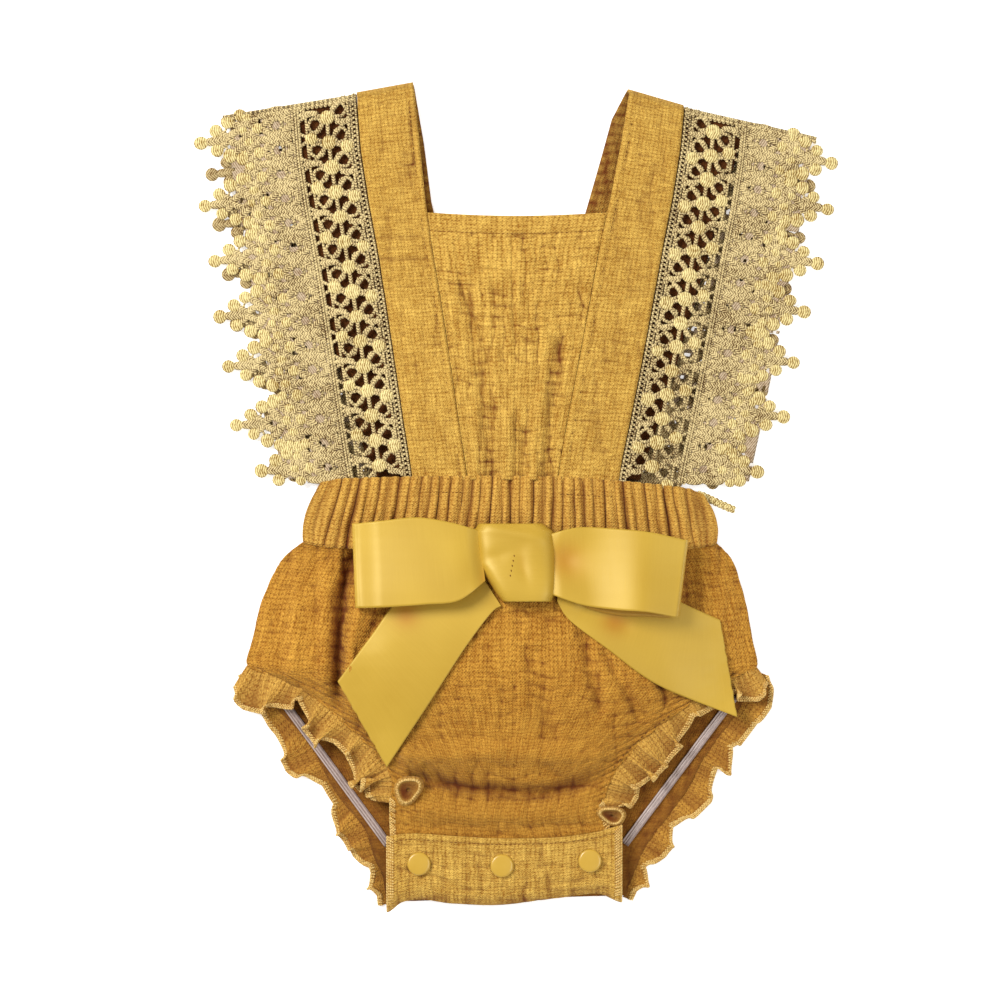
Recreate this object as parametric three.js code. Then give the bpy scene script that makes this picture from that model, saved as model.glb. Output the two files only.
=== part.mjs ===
// Baby romper in mustard crinkle cotton, lying flat and face up: a bib on two folded shoulder
// straps, lace sleeves along the straps, a pleated elastic waist with a satin bow, and bloomers
// with frilled leg openings and a snap crotch. Millimetres, +Z up, +Y towards the shoulders.
// The origin is on the surface under the middle of the garment.
import * as THREE from 'three';

// Cloth thicknesses. Each is the worn thickness of the crinkled or folded cloth.
const cottonThick = 1.2;
const bandThick = 1.4;
const strapThick = 1.4;
const placketThick = 1.8;
const laceThick = 1.0;
const liningThick = 1.0;
const ribbonThick = 1.0;
const frillThick = 1.0;
const seamGap = 0.3;

// Sizes of the trims.
const waistPleats = 48;
const pleatRise = 0.9;
const elasticWide = 3.6;
const elasticThick = 0.9;
const capRadius = 5.35;
const capRise = 2.1;
const loopGap = 2.8;
const knotRise = 9.5;
const liningWide = 34;
const laceRepeats = 15;
const laceHoleHalf = 3.0;
const shoulderTurnSteps = 5;

// Height of the front cloth's middle above the surface. left and right are the edges at each y,
// centre is the height midway between them and edge the height at the edges.
const frontHeights = [
  { y: 9, left: -90, right: 87, centre: 9.6, edge: 4.2 },
  { y: 0, left: -95.4, right: 88, centre: 10.2, edge: 4.2 },
  { y: -20, left: -97.6, right: 93, centre: 11.5, edge: 4.0 },
  { y: -25, left: -101, right: 96, centre: 12.2, edge: 2.1 },
  { y: -37.5, left: -112.2, right: 103.5, centre: 15, edge: 2.1 },
  { y: -50, left: -117.3, right: 106.7, centre: 17.5, edge: 2.1 },
  { y: -66, left: -121, right: 109.5, centre: 19, edge: 2.1 },
  { y: -78, left: -123.3, right: 111.3, centre: 19.5, edge: 2.6 },
  { y: -83, left: -110.4, right: 100.3, centre: 19.3, edge: 5.6 },
  { y: -90, left: -97.5, right: 87.9, centre: 18.6, edge: 8.4 },
  { y: -98.7, left: -85.1, right: 75, centre: 17.4, edge: 9.8 },
  { y: -108.3, left: -74.1, right: 63, centre: 15.6, edge: 10.2 },
  { y: -118.5, left: -63, right: 52.9, centre: 13.6, edge: 10 },
  { y: -129, left: -54.7, right: 44.6, centre: 11.4, edge: 9.2 },
  { y: -141, left: -57, right: 40, centre: 9, edge: 8 },
  { y: -154, left: -57.5, right: 43.7, centre: 7, edge: 6.4 },
  { y: -180, left: -55.7, right: 45.5, centre: 5.4, edge: 5.2 },
];

// Cross lines of the front panel, waist seam to crotch. Each runs from the left edge point
// through midY at the middle to the right edge point.
const frontLines = [
  { leftX: -97.5, leftY: -20.6, rightX: 92.7, rightY: -21.0, midY: -24.2 },
  { leftX: -106.3, leftY: -27.6, rightX: 99.8, rightY: -28.5, midY: -31 },
  { leftX: -112.2, leftY: -37.3, rightX: 103.5, rightY: -38.2, midY: -41 },
  { leftX: -117.3, leftY: -50.1, rightX: 106.7, rightY: -50.1, midY: -54 },
  { leftX: -121.0, leftY: -65.8, rightX: 109.5, rightY: -65.8, midY: -69.5 },
  { leftX: -123.3, leftY: -77.7, rightX: 111.3, rightY: -78.7, midY: -84 },
  { leftX: -110.4, leftY: -82.8, rightX: 100.3, rightY: -83.3, midY: -95 },
  { leftX: -97.5, leftY: -89.2, rightX: 87.9, rightY: -90.2, midY: -104.5 },
  { leftX: -85.1, leftY: -98.0, rightX: 75.0, rightY: -99.4, midY: -114 },
  { leftX: -74.1, leftY: -108.6, rightX: 63.0, rightY: -108.1, midY: -122.4 },
  { leftX: -63.0, leftY: -119.1, rightX: 52.9, rightY: -117.8, midY: -130.2 },
  { leftX: -57.0, leftY: -128.8, rightX: 44.6, rightY: -129.3, midY: -138.0 },
  { leftX: -57.4, leftY: -140.8, rightX: 41.0, rightY: -142.1, midY: -147.7 },
  { leftX: -57.2, leftY: -154.1, rightX: 43.7, rightY: -154.1, midY: -157.5 },
  { leftX: -55.7, leftY: -176.0, rightX: 45.0, rightY: -176.0, midY: -178.0 },
];
const frontLegStart = 5;
const frontLegEnd = 12;

// Cross lines of the back panel, waist seam to the crotch fold.
const backLines = [
  { leftX: -97.5, leftY: -20.6, rightX: 92.7, rightY: -21.0, midY: -24.2 },
  { leftX: -112.2, leftY: -37.3, rightX: 103.5, rightY: -38.2, midY: -41 },
  { leftX: -120.8, leftY: -64.0, rightX: 109.0, rightY: -64.0, midY: -66 },
  { leftX: -122.5, leftY: -79.5, rightX: 110.5, rightY: -80.4, midY: -82 },
  { leftX: -110.5, leftY: -97.0, rightX: 104.0, rightY: -97.0, midY: -98 },
  { leftX: -95.2, leftY: -113.0, rightX: 95.0, rightY: -109.5, midY: -112 },
  { leftX: -88.5, leftY: -126.0, rightX: 86.5, rightY: -121.5, midY: -124 },
  { leftX: -80.5, leftY: -139.5, rightX: 80.5, rightY: -133.5, midY: -137 },
  { leftX: -69.5, leftY: -153.0, rightX: 70.5, rightY: -147.5, midY: -151 },
  { leftX: -65.5, leftY: -165.0, rightX: 60.5, rightY: -161.0, midY: -164 },
  { leftX: -61.0, leftY: -176.0, rightX: 55.0, rightY: -173.5, midY: -175 },
  { leftX: -59.3, leftY: -188.0, rightX: 51.0, rightY: -185.0, midY: -186.6 },
];
const backLegStart = 3;
const backLegEnd = 11;

// Soft folds of the bloomers' front, each a ridge (rise above 0) or a trough along a line.
const frontFolds = [
  { fromX: -96, fromY: -30, toX: -103, toY: -82, rise: 2.6, wide: 6 },
  { fromX: -77, fromY: -30, toX: -83, toY: -52, rise: -3.6, wide: 5.5 },
  { fromX: -83, fromY: -52, toX: -82, toY: -90, rise: -3.8, wide: 5.5 },
  { fromX: -115, fromY: -50, toX: -116, toY: -74, rise: 1.4, wide: 4 },
  { fromX: -60, fromY: -62, toX: -56, toY: -104, rise: -1.8, wide: 6 },
  { fromX: 36, fromY: -62, toX: 60, toY: -98, rise: -2.6, wide: 6 },
  { fromX: 84, fromY: -34, toX: 88, toY: -80, rise: -2.4, wide: 5.5 },
  { fromX: 98, fromY: -40, toX: 101, toY: -76, rise: 1.8, wide: 5 },
  { fromX: 8, fromY: -74, toX: 16, toY: -108, rise: -1.6, wide: 6 },
  { fromX: -50, fromY: -121, toX: 38, toY: -120, rise: 1.4, wide: 5 },
  { fromX: -50, fromY: -134, toX: 38, toY: -135, rise: -2.6, wide: 6 },
  { fromX: -46, fromY: -145, toX: 32, toY: -145, rise: 1.2, wide: 5 },
];

// Top and bottom edges of the pleated waistband, side seam to side seam.
const bandTop = [
  { x: -89.5, y: 5.6 }, { x: -80.5, y: 7.4 }, { x: -52.9, y: 8.3 }, { x: -6.9, y: 8.7 },
  { x: 20.7, y: 8.3 }, { x: 48.3, y: 6.4 }, { x: 66.7, y: 4.6 }, { x: 80.5, y: 2.8 }, { x: 87, y: 0 },
];
const bandBottom = [
  { x: -97.4, y: -20.2 }, { x: -92, y: -21.4 }, { x: -85, y: -22.3 }, { x: -75, y: -22.9 },
  { x: -6.9, y: -23.8 }, { x: 70, y: -23.6 }, { x: 80, y: -23.0 }, { x: 87, y: -22.1 }, { x: 92.7, y: -20.8 },
];

// Straps, shoulder to waist. outer is the edge that carries the lace, inner the neck edge.
const leftStrapFront = [
  { outerX: -72.7, outerY: 184.0, innerX: -46.7, innerY: 188.6 },
  { outerX: -70.8, outerY: 159.6, innerX: -43.9, innerY: 162.0 },
  { outerX: -67.2, outerY: 136.6, innerX: -41.5, innerY: 138.0 },
  { outerX: -63.0, outerY: 113.6, innerX: -38.4, innerY: 115.0 },
  { outerX: -59.3, outerY: 90.6, innerX: -34.5, innerY: 91.5 },
  { outerX: -55.2, outerY: 63.0, innerX: -30.2, innerY: 63.5 },
  { outerX: -51.1, outerY: 35.4, innerX: -26.2, innerY: 35.7 },
  { outerX: -46.9, outerY: 9.2, innerX: -22.1, innerY: 9.2 },
];
const leftStrapBack = [
  { outerX: -72.4, outerY: 184.0, innerX: -46.4, innerY: 188.6 },
  { outerX: -69.5, outerY: 160.0, innerX: -42.0, innerY: 163.0 },
  { outerX: -64.5, outerY: 133.0, innerX: -38.6, innerY: 136.5 },
  { outerX: -56.0, outerY: 95.0, innerX: -30.5, innerY: 100.0 },
  { outerX: -43.5, outerY: 50.0, innerX: -18.0, innerY: 55.0 },
  { outerX: -31.2, outerY: 9.2, innerX: -5.8, innerY: 9.2 },
];
const rightStrapFront = [
  { outerX: 77.7, outerY: 178.0, innerX: 52.6, innerY: 185.2 },
  { outerX: 75.9, outerY: 159.6, innerX: 49.2, innerY: 164.2 },
  { outerX: 72.2, outerY: 136.6, innerX: 44.6, innerY: 140.2 },
  { outerX: 67.6, outerY: 113.6, innerX: 39.4, innerY: 116.2 },
  { outerX: 63.5, outerY: 90.6, innerX: 35.0, innerY: 91.6 },
  { outerX: 58.4, outerY: 63.0, innerX: 29.9, innerY: 64.0 },
  { outerX: 52.9, outerY: 35.4, innerX: 24.4, innerY: 35.8 },
  { outerX: 47.4, outerY: 9.2, innerX: 19.8, innerY: 9.2 },
];
const rightStrapBack = [
  { outerX: 76.0, outerY: 178.4, innerX: 50.6, innerY: 185.6 },
  { outerX: 69.5, outerY: 168.0, innerX: 44.6, innerY: 174.0 },
  { outerX: 65.5, outerY: 153.0, innerX: 40.5, innerY: 159.0 },
  { outerX: 60.0, outerY: 132.0, innerX: 34.5, innerY: 138.0 },
  { outerX: 50.0, outerY: 99.0, innerX: 25.0, innerY: 105.0 },
  { outerX: 37.0, outerY: 53.0, innerX: 12.0, innerY: 58.0 },
  { outerX: 23.2, outerY: 9.2, innerX: -1.8, innerY: 9.2 },
];

// Height of the middle of the bib and the straps' front runs: centre between the straps, edge
// at the straps' outer edges.
const torsoHeights = [
  { y: 195, centre: 5.2, edge: 5.0 },
  { y: 165, centre: 5.6, edge: 5.0 },
  { y: 131, centre: 7.6, edge: 5.2 },
  { y: 90, centre: 9.2, edge: 5.6 },
  { y: 40, centre: 10.0, edge: 6.6 },
  { y: 9, centre: 9.8, edge: 7.6 },
];
const bibTop = 131;
const bibBottom = 9.1;
const bibFolds = [
  { fromX: -24, fromY: 96, toX: -15, toY: 62, rise: -1.1, wide: 4 },
  { fromX: -15, fromY: 58, toX: -11, toY: 9, rise: -1.5, wide: 4 },
  { fromX: -19, fromY: 40, toX: -18, toY: 9, rise: 1.0, wide: 2.5 },
  { fromX: -3, fromY: 38, toX: -4, toY: 9, rise: 1.1, wide: 2.5 },
  { fromX: 4, fromY: 30, toX: 3, toY: 9, rise: -1.1, wide: 2.4 },
  { fromX: 12, fromY: 48, toX: 9, toY: 9, rise: 1.2, wide: 2.8 },
  { fromX: 20, fromY: 70, toX: 15, toY: 9, rise: -1.3, wide: 3.2 },
];

// Lace sleeves: lobes along each, at is how far down the strap and reach how far out the tip is.
const leftLaceFront = [
  { at: 0.05, reach: 76.5 }, { at: 0.225, reach: 78 }, { at: 0.38, reach: 78 },
  { at: 0.535, reach: 80 }, { at: 0.675, reach: 79.5 }, { at: 0.84, reach: 80 },
  { at: 0.97, reach: 72 },
];
const leftLaceBack = [
  { at: 0.14, reach: 74 }, { at: 0.28, reach: 75 }, { at: 0.42, reach: 76 },
  { at: 0.56, reach: 78 }, { at: 0.7, reach: 80 }, { at: 0.84, reach: 82 },
  { at: 0.96, reach: 80 },
];
const rightLaceFront = [
  { at: 0.05, reach: 73.5 }, { at: 0.185, reach: 74.5 }, { at: 0.345, reach: 74.5 },
  { at: 0.49, reach: 72.5 }, { at: 0.64, reach: 72 }, { at: 0.8, reach: 72.5 },
  { at: 0.965, reach: 66 },
];
const rightLaceBack = [
  { at: 0.12, reach: 73 }, { at: 0.27, reach: 75 }, { at: 0.42, reach: 76 },
  { at: 0.57, reach: 77 }, { at: 0.72, reach: 79 }, { at: 0.86, reach: 80 },
  { at: 0.97, reach: 78 },
];
const lobeDepth = 23;
const laceEdgeStops = [1, 0.85, 0.7, 0.55, 0.4, 0.26, 0.12, 0];
const lobeShape = [
  { across: 0.84, out: 0.15 }, { across: 0.56, out: 0.48 }, { across: 0.2, out: 0.74 },
  { across: 0.22, out: 0.94 },
];
const laceHoleRows = [
  { out: 8.6, shift: 0.25 },
  { out: 20, shift: 0.75 },
  { out: 38, shift: 0.5 },
];

// Frills of the leg openings: at runs from the side seam to the crotch, reach is the width there
// and rise how far the edge stands above the seam.
const leftFrontFrill = [
  { at: 0, reach: 9, rise: 0.6 }, { at: 0.07, reach: 15, rise: 1.6 }, { at: 0.15, reach: 16, rise: 1.4 },
  { at: 0.23, reach: 11, rise: 0.6 }, { at: 0.3, reach: 4, rise: 1.6 }, { at: 0.38, reach: 12, rise: -0.3 },
  { at: 0.47, reach: 17, rise: -1.0 }, { at: 0.55, reach: 9, rise: 0.6 }, { at: 0.63, reach: 9, rise: -0.2 },
  { at: 0.72, reach: 18, rise: -1.3 }, { at: 0.79, reach: 18, rise: -1.2 }, { at: 0.86, reach: 13, rise: -0.6 },
  { at: 0.93, reach: 11, rise: -0.8 }, { at: 1, reach: 8, rise: -0.6 },
];
const rightFrontFrill = [
  { at: 0, reach: 8, rise: 0.6 }, { at: 0.08, reach: 13, rise: 1.6 }, { at: 0.18, reach: 6, rise: 0.8 },
  { at: 0.28, reach: 8, rise: 0 }, { at: 0.4, reach: 5, rise: 0 }, { at: 0.5, reach: 12, rise: -0.6 },
  { at: 0.58, reach: 15, rise: -1.0 }, { at: 0.66, reach: 16, rise: -1.1 }, { at: 0.74, reach: 16, rise: -1.1 },
  { at: 0.82, reach: 10, rise: -0.6 }, { at: 0.92, reach: 14, rise: -1.0 }, { at: 1, reach: 8, rise: -0.6 },
];
const leftBackFrill = [
  { at: 0, reach: 5, rise: 0.1 }, { at: 0.1, reach: 6, rise: 0.1 }, { at: 0.18, reach: 8, rise: 0.4 },
  { at: 0.25, reach: 14.5, rise: 1 }, { at: 0.31, reach: 15, rise: 1.6 }, { at: 0.36, reach: 10, rise: 0.7 },
  { at: 0.42, reach: 3, rise: 0.6 }, { at: 0.5, reach: 3, rise: 0.6 }, { at: 0.57, reach: 11.5, rise: 1.5 },
  { at: 0.63, reach: 10.5, rise: 0.5 }, { at: 0.69, reach: 9.5, rise: 1.3 }, { at: 0.74, reach: 8, rise: 0.5 },
  { at: 0.79, reach: 3, rise: 0.5 }, { at: 0.84, reach: 3.5, rise: 0.6 }, { at: 0.9, reach: 7.5, rise: 1.2 },
  { at: 0.95, reach: 3, rise: 0.6 }, { at: 1, reach: 3, rise: 0.3 },
];
const rightBackFrill = [
  { at: 0, reach: 6, rise: 0.1 }, { at: 0.08, reach: 12, rise: 0.3 }, { at: 0.15, reach: 9.5, rise: 0.5 },
  { at: 0.22, reach: 9.5, rise: 0.9 }, { at: 0.28, reach: 7, rise: 0.4 }, { at: 0.34, reach: 14, rise: 1.5 },
  { at: 0.39, reach: 7, rise: 0.4 }, { at: 0.45, reach: 8.5, rise: 0.8 }, { at: 0.52, reach: 11.5, rise: 1.6 },
  { at: 0.58, reach: 8.5, rise: 0.6 }, { at: 0.64, reach: 4, rise: 0.6 }, { at: 0.69, reach: 10, rise: 1.4 },
  { at: 0.75, reach: 9.5, rise: 0.8 }, { at: 0.8, reach: 5, rise: 0.6 }, { at: 0.84, reach: 3, rise: 0.5 },
  { at: 0.89, reach: 8, rise: 1.2 }, { at: 0.95, reach: 3, rise: 0.6 }, { at: 1, reach: 2.5, rise: 0.3 },
];

// Snap band of the crotch: the back panel's end turned forward over the front.
const placketLines = [
  { x: -58.8, topY: -156.2, bottomY: -191.2 }, { x: -52.5, topY: -155.2, bottomY: -186.6 },
  { x: -44, topY: -155, bottomY: -185.2 }, { x: -30, topY: -156, bottomY: -187 },
  { x: -7, topY: -157.2, bottomY: -187.7 }, { x: 21, topY: -156.6, bottomY: -184.4 },
  { x: 39, topY: -154, bottomY: -182.6 }, { x: 49, topY: -151, bottomY: -186.6 },
];
const placketDrop = [
  { along: 0, rise: 2.1 }, { along: 0.3, rise: 2.1 }, { along: 0.62, rise: 2.1 },
  { along: 0.84, rise: 1.4 }, { along: 0.95, rise: -0.6 }, { along: 1, rise: -2.2 },
];
const snapCaps = [
  { name: 'snap_cap_1', x: -44.2, y: -168.8 },
  { name: 'snap_cap_2', x: -6.0, y: -169.7 },
  { name: 'snap_cap_3', x: 34.5, y: -167.4 },
];
const elastics = [
  { name: 'elastic_left', fromX: -106.5, fromY: -95, toX: -58.5, toY: -160.5 },
  { name: 'elastic_right', fromX: 101.5, fromY: -92, toX: 50.6, toY: -160.1 },
];

// Satin bow. Loops run from the knot out to the fold; tails from the knot to the cut end.
const leftLoop = [
  { topX: -19.6, topY: -16, lowX: -17.8, lowY: -36 },
  { topX: -30, topY: -11.6, lowX: -26, lowY: -47.5 },
  { topX: -45, topY: -9.4, lowX: -41, lowY: -49.2 },
  { topX: -60, topY: -10.8, lowX: -58, lowY: -50.4 },
  { topX: -72.6, topY: -12.2, lowX: -71.0, lowY: -50.9 },
];
const rightLoop = [
  { topX: 19.4, topY: -18, lowX: 19.4, lowY: -43 },
  { topX: 29, topY: -14, lowX: 31, lowY: -49.5 },
  { topX: 46, topY: -14.6, lowX: 46, lowY: -51.6 },
  { topX: 62, topY: -16.2, lowX: 60, lowY: -52.6 },
  { topX: 77.4, topY: -19.6, lowX: 72.8, lowY: -55 },
];
const leftTail = [
  { topX: -18.6, topY: -31, lowX: -6.4, lowY: -50 },
  { topX: -34, topY: -31, lowX: -11.2, lowY: -53.5 },
  { topX: -52, topY: -44.8, lowX: -22.5, lowY: -68.6 },
  { topX: -66, topY: -63.8, lowX: -38, lowY: -92.5 },
  { topX: -81.4, topY: -84.6, lowX: -58.9, lowY: -124.2 },
];
const rightTail = [
  { topX: 19.6, topY: -25, lowX: 19.4, lowY: -48 },
  { topX: 34, topY: -28, lowX: 25, lowY: -56.5 },
  { topX: 54, topY: -37, lowX: 42, lowY: -69.4 },
  { topX: 75.9, topY: -48.3, lowX: 66, lowY: -86.5 },
  { topX: 94.3, topY: -56.6, lowX: 102.2, lowY: -101.2 },
];
const knotLines = [
  { y: -12.4, left: -16.5, right: 12.5 }, { y: -16, left: -18.8, right: 17.4 },
  { y: -24, left: -17.6, right: 18.4 }, { y: -31, left: -16.6, right: 18.4 },
  { y: -38, left: -12.4, right: 18.4 }, { y: -44, left: -8.6, right: 18 },
  { y: -47.8, left: -5.6, right: 16.4 },
];

const colours = {
  cotton: 0xc9944a, strap: 0xce9f4a, lining: 0xa8763a, lace: 0xc3a56b, satin: 0xdcb248,
  plastic: 0xe0b753, elastic: 0xc5ad8d,
};
const materials = Object.fromEntries(Object.entries(colours).map(([name, color]) => [
  name,
  new THREE.MeshStandardMaterial({
    color,
    roughness: name === 'satin' ? 0.32 : name === 'plastic' ? 0.35 : 0.9,
    metalness: 0,
  }),
]));

const garment = new THREE.Group();
function add(name, geometry, slot) {
  const mesh = new THREE.Mesh(geometry, materials[slot].clone());
  mesh.name = name;
  garment.add(mesh);
  return mesh;
}

const blend = (a, b, t) => a + (b - a) * t;

// One column of a table at a value of its key column, straight between the rows.
function lookup(table, key, value, name) {
  const rising = table[table.length - 1][key] > table[0][key];
  const past = table.findIndex(row => (rising ? row[key] >= value : row[key] <= value));
  if (past === 0) return table[0][name];
  if (past < 0) return table[table.length - 1][name];
  const a = table[past - 1], b = table[past];
  return blend(a[name], b[name], (value - a[key]) / (b[key] - a[key]));
}

// One column at a row number that may fall between rows, on a smooth curve through them.
function smooth(table, name, row) {
  const last = table.length - 1;
  const i = Math.min(Math.max(Math.floor(row), 0), last - 1);
  const t = row - i;
  const [p, q, r, s] = [i - 1, i, i + 1, i + 2].map(k => table[Math.min(Math.max(k, 0), last)][name]);
  return 0.5 * (2 * q + (r - p) * t + (2 * p - 5 * q + 4 * r - s) * t * t
    + (3 * q - p - 3 * r + s) * t * t * t);
}

// Sum of the soft folds at a point, each a bell across its line.
function foldRise(folds, x, y) {
  let sum = 0;
  for (const f of folds) {
    const dx = f.toX - f.fromX, dy = f.toY - f.fromY;
    const t = Math.min(Math.max(((x - f.fromX) * dx + (y - f.fromY) * dy) / (dx * dx + dy * dy), 0), 1);
    const away = Math.hypot(x - f.fromX - t * dx, y - f.fromY - t * dy);
    sum += f.rise * Math.exp(-((away / f.wide) ** 2));
  }
  return sum;
}

// Height of the front cloth's middle, without its folds.
function frontHeight(x, y) {
  const at = name => lookup(frontHeights, 'y', y, name);
  const u = Math.min(Math.max((x - at('left')) / (at('right') - at('left')), 0), 1);
  return at('edge') + (at('centre') - at('edge')) * (1 - Math.abs(2 * u - 1) ** 2.4);
}

function torsoHeight(x, y) {
  const left = lookup(leftStrapFront, 'outerY', y, 'outerX');
  const right = lookup(rightStrapFront, 'outerY', y, 'outerX');
  const u = Math.min(Math.max((x - left) / (right - left), 0), 1);
  const edge = lookup(torsoHeights, 'y', y, 'edge');
  return edge + (lookup(torsoHeights, 'y', y, 'centre') - edge) * (1 - Math.abs(2 * u - 1) ** 2);
}

// Closed solid between two grids of points of one size.
function solidBetween(upper, lower) {
  const rows = upper.length, cols = upper[0].length;
  const points = [...upper.flat(), ...lower.flat()].flatMap(p => [p.x, p.y, p.z]);
  const top = (i, j) => i * cols + j;
  const under = (i, j) => rows * cols + i * cols + j;
  const faces = [];
  const quad = (a, b, c, d) => faces.push(a, b, c, a, c, d);
  for (let i = 0; i < rows - 1; i++) {
    for (let j = 0; j < cols - 1; j++) {
      quad(top(i, j), top(i, j + 1), top(i + 1, j + 1), top(i + 1, j));
      quad(under(i, j), under(i + 1, j), under(i + 1, j + 1), under(i, j + 1));
    }
  }
  for (let j = 0; j < cols - 1; j++) {
    quad(top(0, j), under(0, j), under(0, j + 1), top(0, j + 1));
    quad(top(rows - 1, j), top(rows - 1, j + 1), under(rows - 1, j + 1), under(rows - 1, j));
  }
  for (let i = 0; i < rows - 1; i++) {
    quad(top(i, 0), top(i + 1, 0), under(i + 1, 0), under(i, 0));
    quad(top(i, cols - 1), under(i, cols - 1), under(i + 1, cols - 1), top(i + 1, cols - 1));
  }
  const corner = k => new THREE.Vector3(...points.slice(3 * k, 3 * k + 3));
  let volume = 0;
  for (let f = 0; f < faces.length; f += 3) {
    volume += corner(faces[f]).dot(corner(faces[f + 1]).cross(corner(faces[f + 2])));
  }
  if (volume < 0) faces.reverse();
  const geometry = new THREE.BufferGeometry();
  geometry.setAttribute('position', new THREE.Float32BufferAttribute(points, 3));
  geometry.setIndex(faces);
  return geometry;
}

// Direction square to the sheet at each grid point, from its neighbours.
function gridNormal(rows, i, j) {
  const across = rows[i][Math.min(j + 1, rows[i].length - 1)].clone().sub(rows[i][Math.max(j - 1, 0)]);
  const along = rows[Math.min(i + 1, rows.length - 1)][j].clone().sub(rows[Math.max(i - 1, 0)][j]);
  return across.cross(along).normalize();
}

// Cloth wall that keeps its outline: both faces lie straight above and below the middle.
function layWall(rows, thick) {
  const half = rows.map((row, i) => row.map((p, j) =>
    (thick / 2) * Math.min(1 / Math.max(Math.abs(gridNormal(rows, i, j).z), 0.3), 1.5)));
  return solidBetween(
    rows.map((row, i) => row.map((p, j) => new THREE.Vector3(p.x, p.y, p.z + half[i][j]))),
    rows.map((row, i) => row.map((p, j) => new THREE.Vector3(p.x, p.y, p.z - half[i][j]))),
  );
}

// Cloth wall that turns over itself: the faces lie square to the sheet.
function turnedWall(rows, thick) {
  const moved = side => rows.map((row, i) => row.map((p, j) =>
    p.clone().addScaledVector(gridNormal(rows, i, j), side * thick / 2)));
  return solidBetween(moved(1), moved(-1));
}

// Cloth that rests on the surface: flat underneath, with its top at a height.
function restingWall(rows, topAt) {
  return solidBetween(
    rows.map(row => row.map(p => new THREE.Vector3(p.x, p.y, topAt(p.x, p.y)))),
    rows.map(row => row.map(p => new THREE.Vector3(p.x, p.y, 0))),
  );
}

const grid = (rows, cols, at) => Array.from({ length: rows }, (_, i) =>
  Array.from({ length: cols }, (__, j) => at(i / (rows - 1), j / (cols - 1), i, j)));

// Point of a panel: row along its cross lines, u across from the left edge, below the waistband.
function panelPoint(lines, row, u) {
  const at = name => smooth(lines, name, row);
  const bow = at('midY') - (at('leftY') + at('rightY')) / 2;
  const x = blend(at('leftX'), at('rightX'), u);
  const y = blend(at('leftY'), at('rightY'), u) + bow * (1 - (2 * u - 1) ** 2);
  return new THREE.Vector3(x, Math.min(y, lookup(bandBottom, 'x', x, 'y') - 1.5 * seamGap), 0);
}

// Bloomers.
const frontRows = grid(21, 33, (v, u) => {
  const p = panelPoint(frontLines, v * (frontLines.length - 1), u);
  const open = Math.min(1, 6 * Math.min(u, 1 - u));
  return p.setZ(frontHeight(p.x, p.y) + open * foldRise(frontFolds, p.x, p.y));
});
add('front_panel', layWall(frontRows, cottonThick), 'cotton');
const backRows = grid(23, 11, (v, u) =>
  panelPoint(backLines, v * (backLines.length - 1), (1 - Math.cos(Math.PI * u)) / 2));
add('back_panel', restingWall(backRows, () => cottonThick), 'cotton');

// Waistband, front and back, in uneven pleats that die out at the side seams.
function bandPoint(u, v) {
  const edge = table => {
    const x = blend(table[0].x, table[table.length - 1].x, u);
    return new THREE.Vector3(x, lookup(table, 'x', x, 'y'), 0);
  };
  return edge(bandTop).lerp(edge(bandBottom), v);
}
function pleat(j) {
  const unevenness = 0.75 + 0.25 * Math.sin(1.7 * j);
  const fade = Math.min(1, Math.min(j, 2 * waistPleats - j) / 4);
  return (j % 2 ? 1 : -1) * unevenness * fade;
}
const pleatPlace = (u, j) => u + (0.22 * Math.sin(2.3 * j) * Math.min(1, j, 2 * waistPleats - j))
  / (2 * waistPleats);
const bandFrontRows = grid(3, 2 * waistPleats + 1, (v, u, i, j) => {
  const p = bandPoint(pleatPlace(u, j), v);
  const tuck = v === 0.5 ? 1 : 0.6;
  return p.setZ(frontHeight(p.x, p.y) + pleatRise * tuck * pleat(j));
});
add('waistband_front', layWall(bandFrontRows, bandThick), 'cotton');
const bandBackRows = grid(2, 2 * waistPleats + 1, (v, u, i, j) => bandPoint(pleatPlace(u, j), v));
const bandBackTop = bandBackRows.map(row => row.map((p, j) =>
  p.clone().setZ(bandThick + 0.35 + 0.45 * pleat(j))));
add('waistband_back', solidBetween(bandBackTop, bandBackRows), 'cotton');

// Bib between the straps, with gathers at the waist.
function strapEdge(table, side, y) {
  return lookup(table, `${side}Y`, y, `${side}X`);
}
const bibRows = grid(13, 16, (v, u) => {
  const y = blend(bibTop, bibBottom, v);
  const left = strapEdge(leftStrapFront, 'inner', y) + seamGap;
  const right = strapEdge(rightStrapFront, 'inner', y) - seamGap;
  const x = blend(left, right, u);
  const free = Math.min(1, 5 * Math.min(u, 1 - u));
  const sag = -1.6 * Math.sin(Math.PI * u) * (1 - v);
  return new THREE.Vector3(x, y + sag, torsoHeight(x, y) + free * foldRise(bibFolds, x, y));
});
add('bib', layWall(bibRows, cottonThick), 'cotton');

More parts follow.
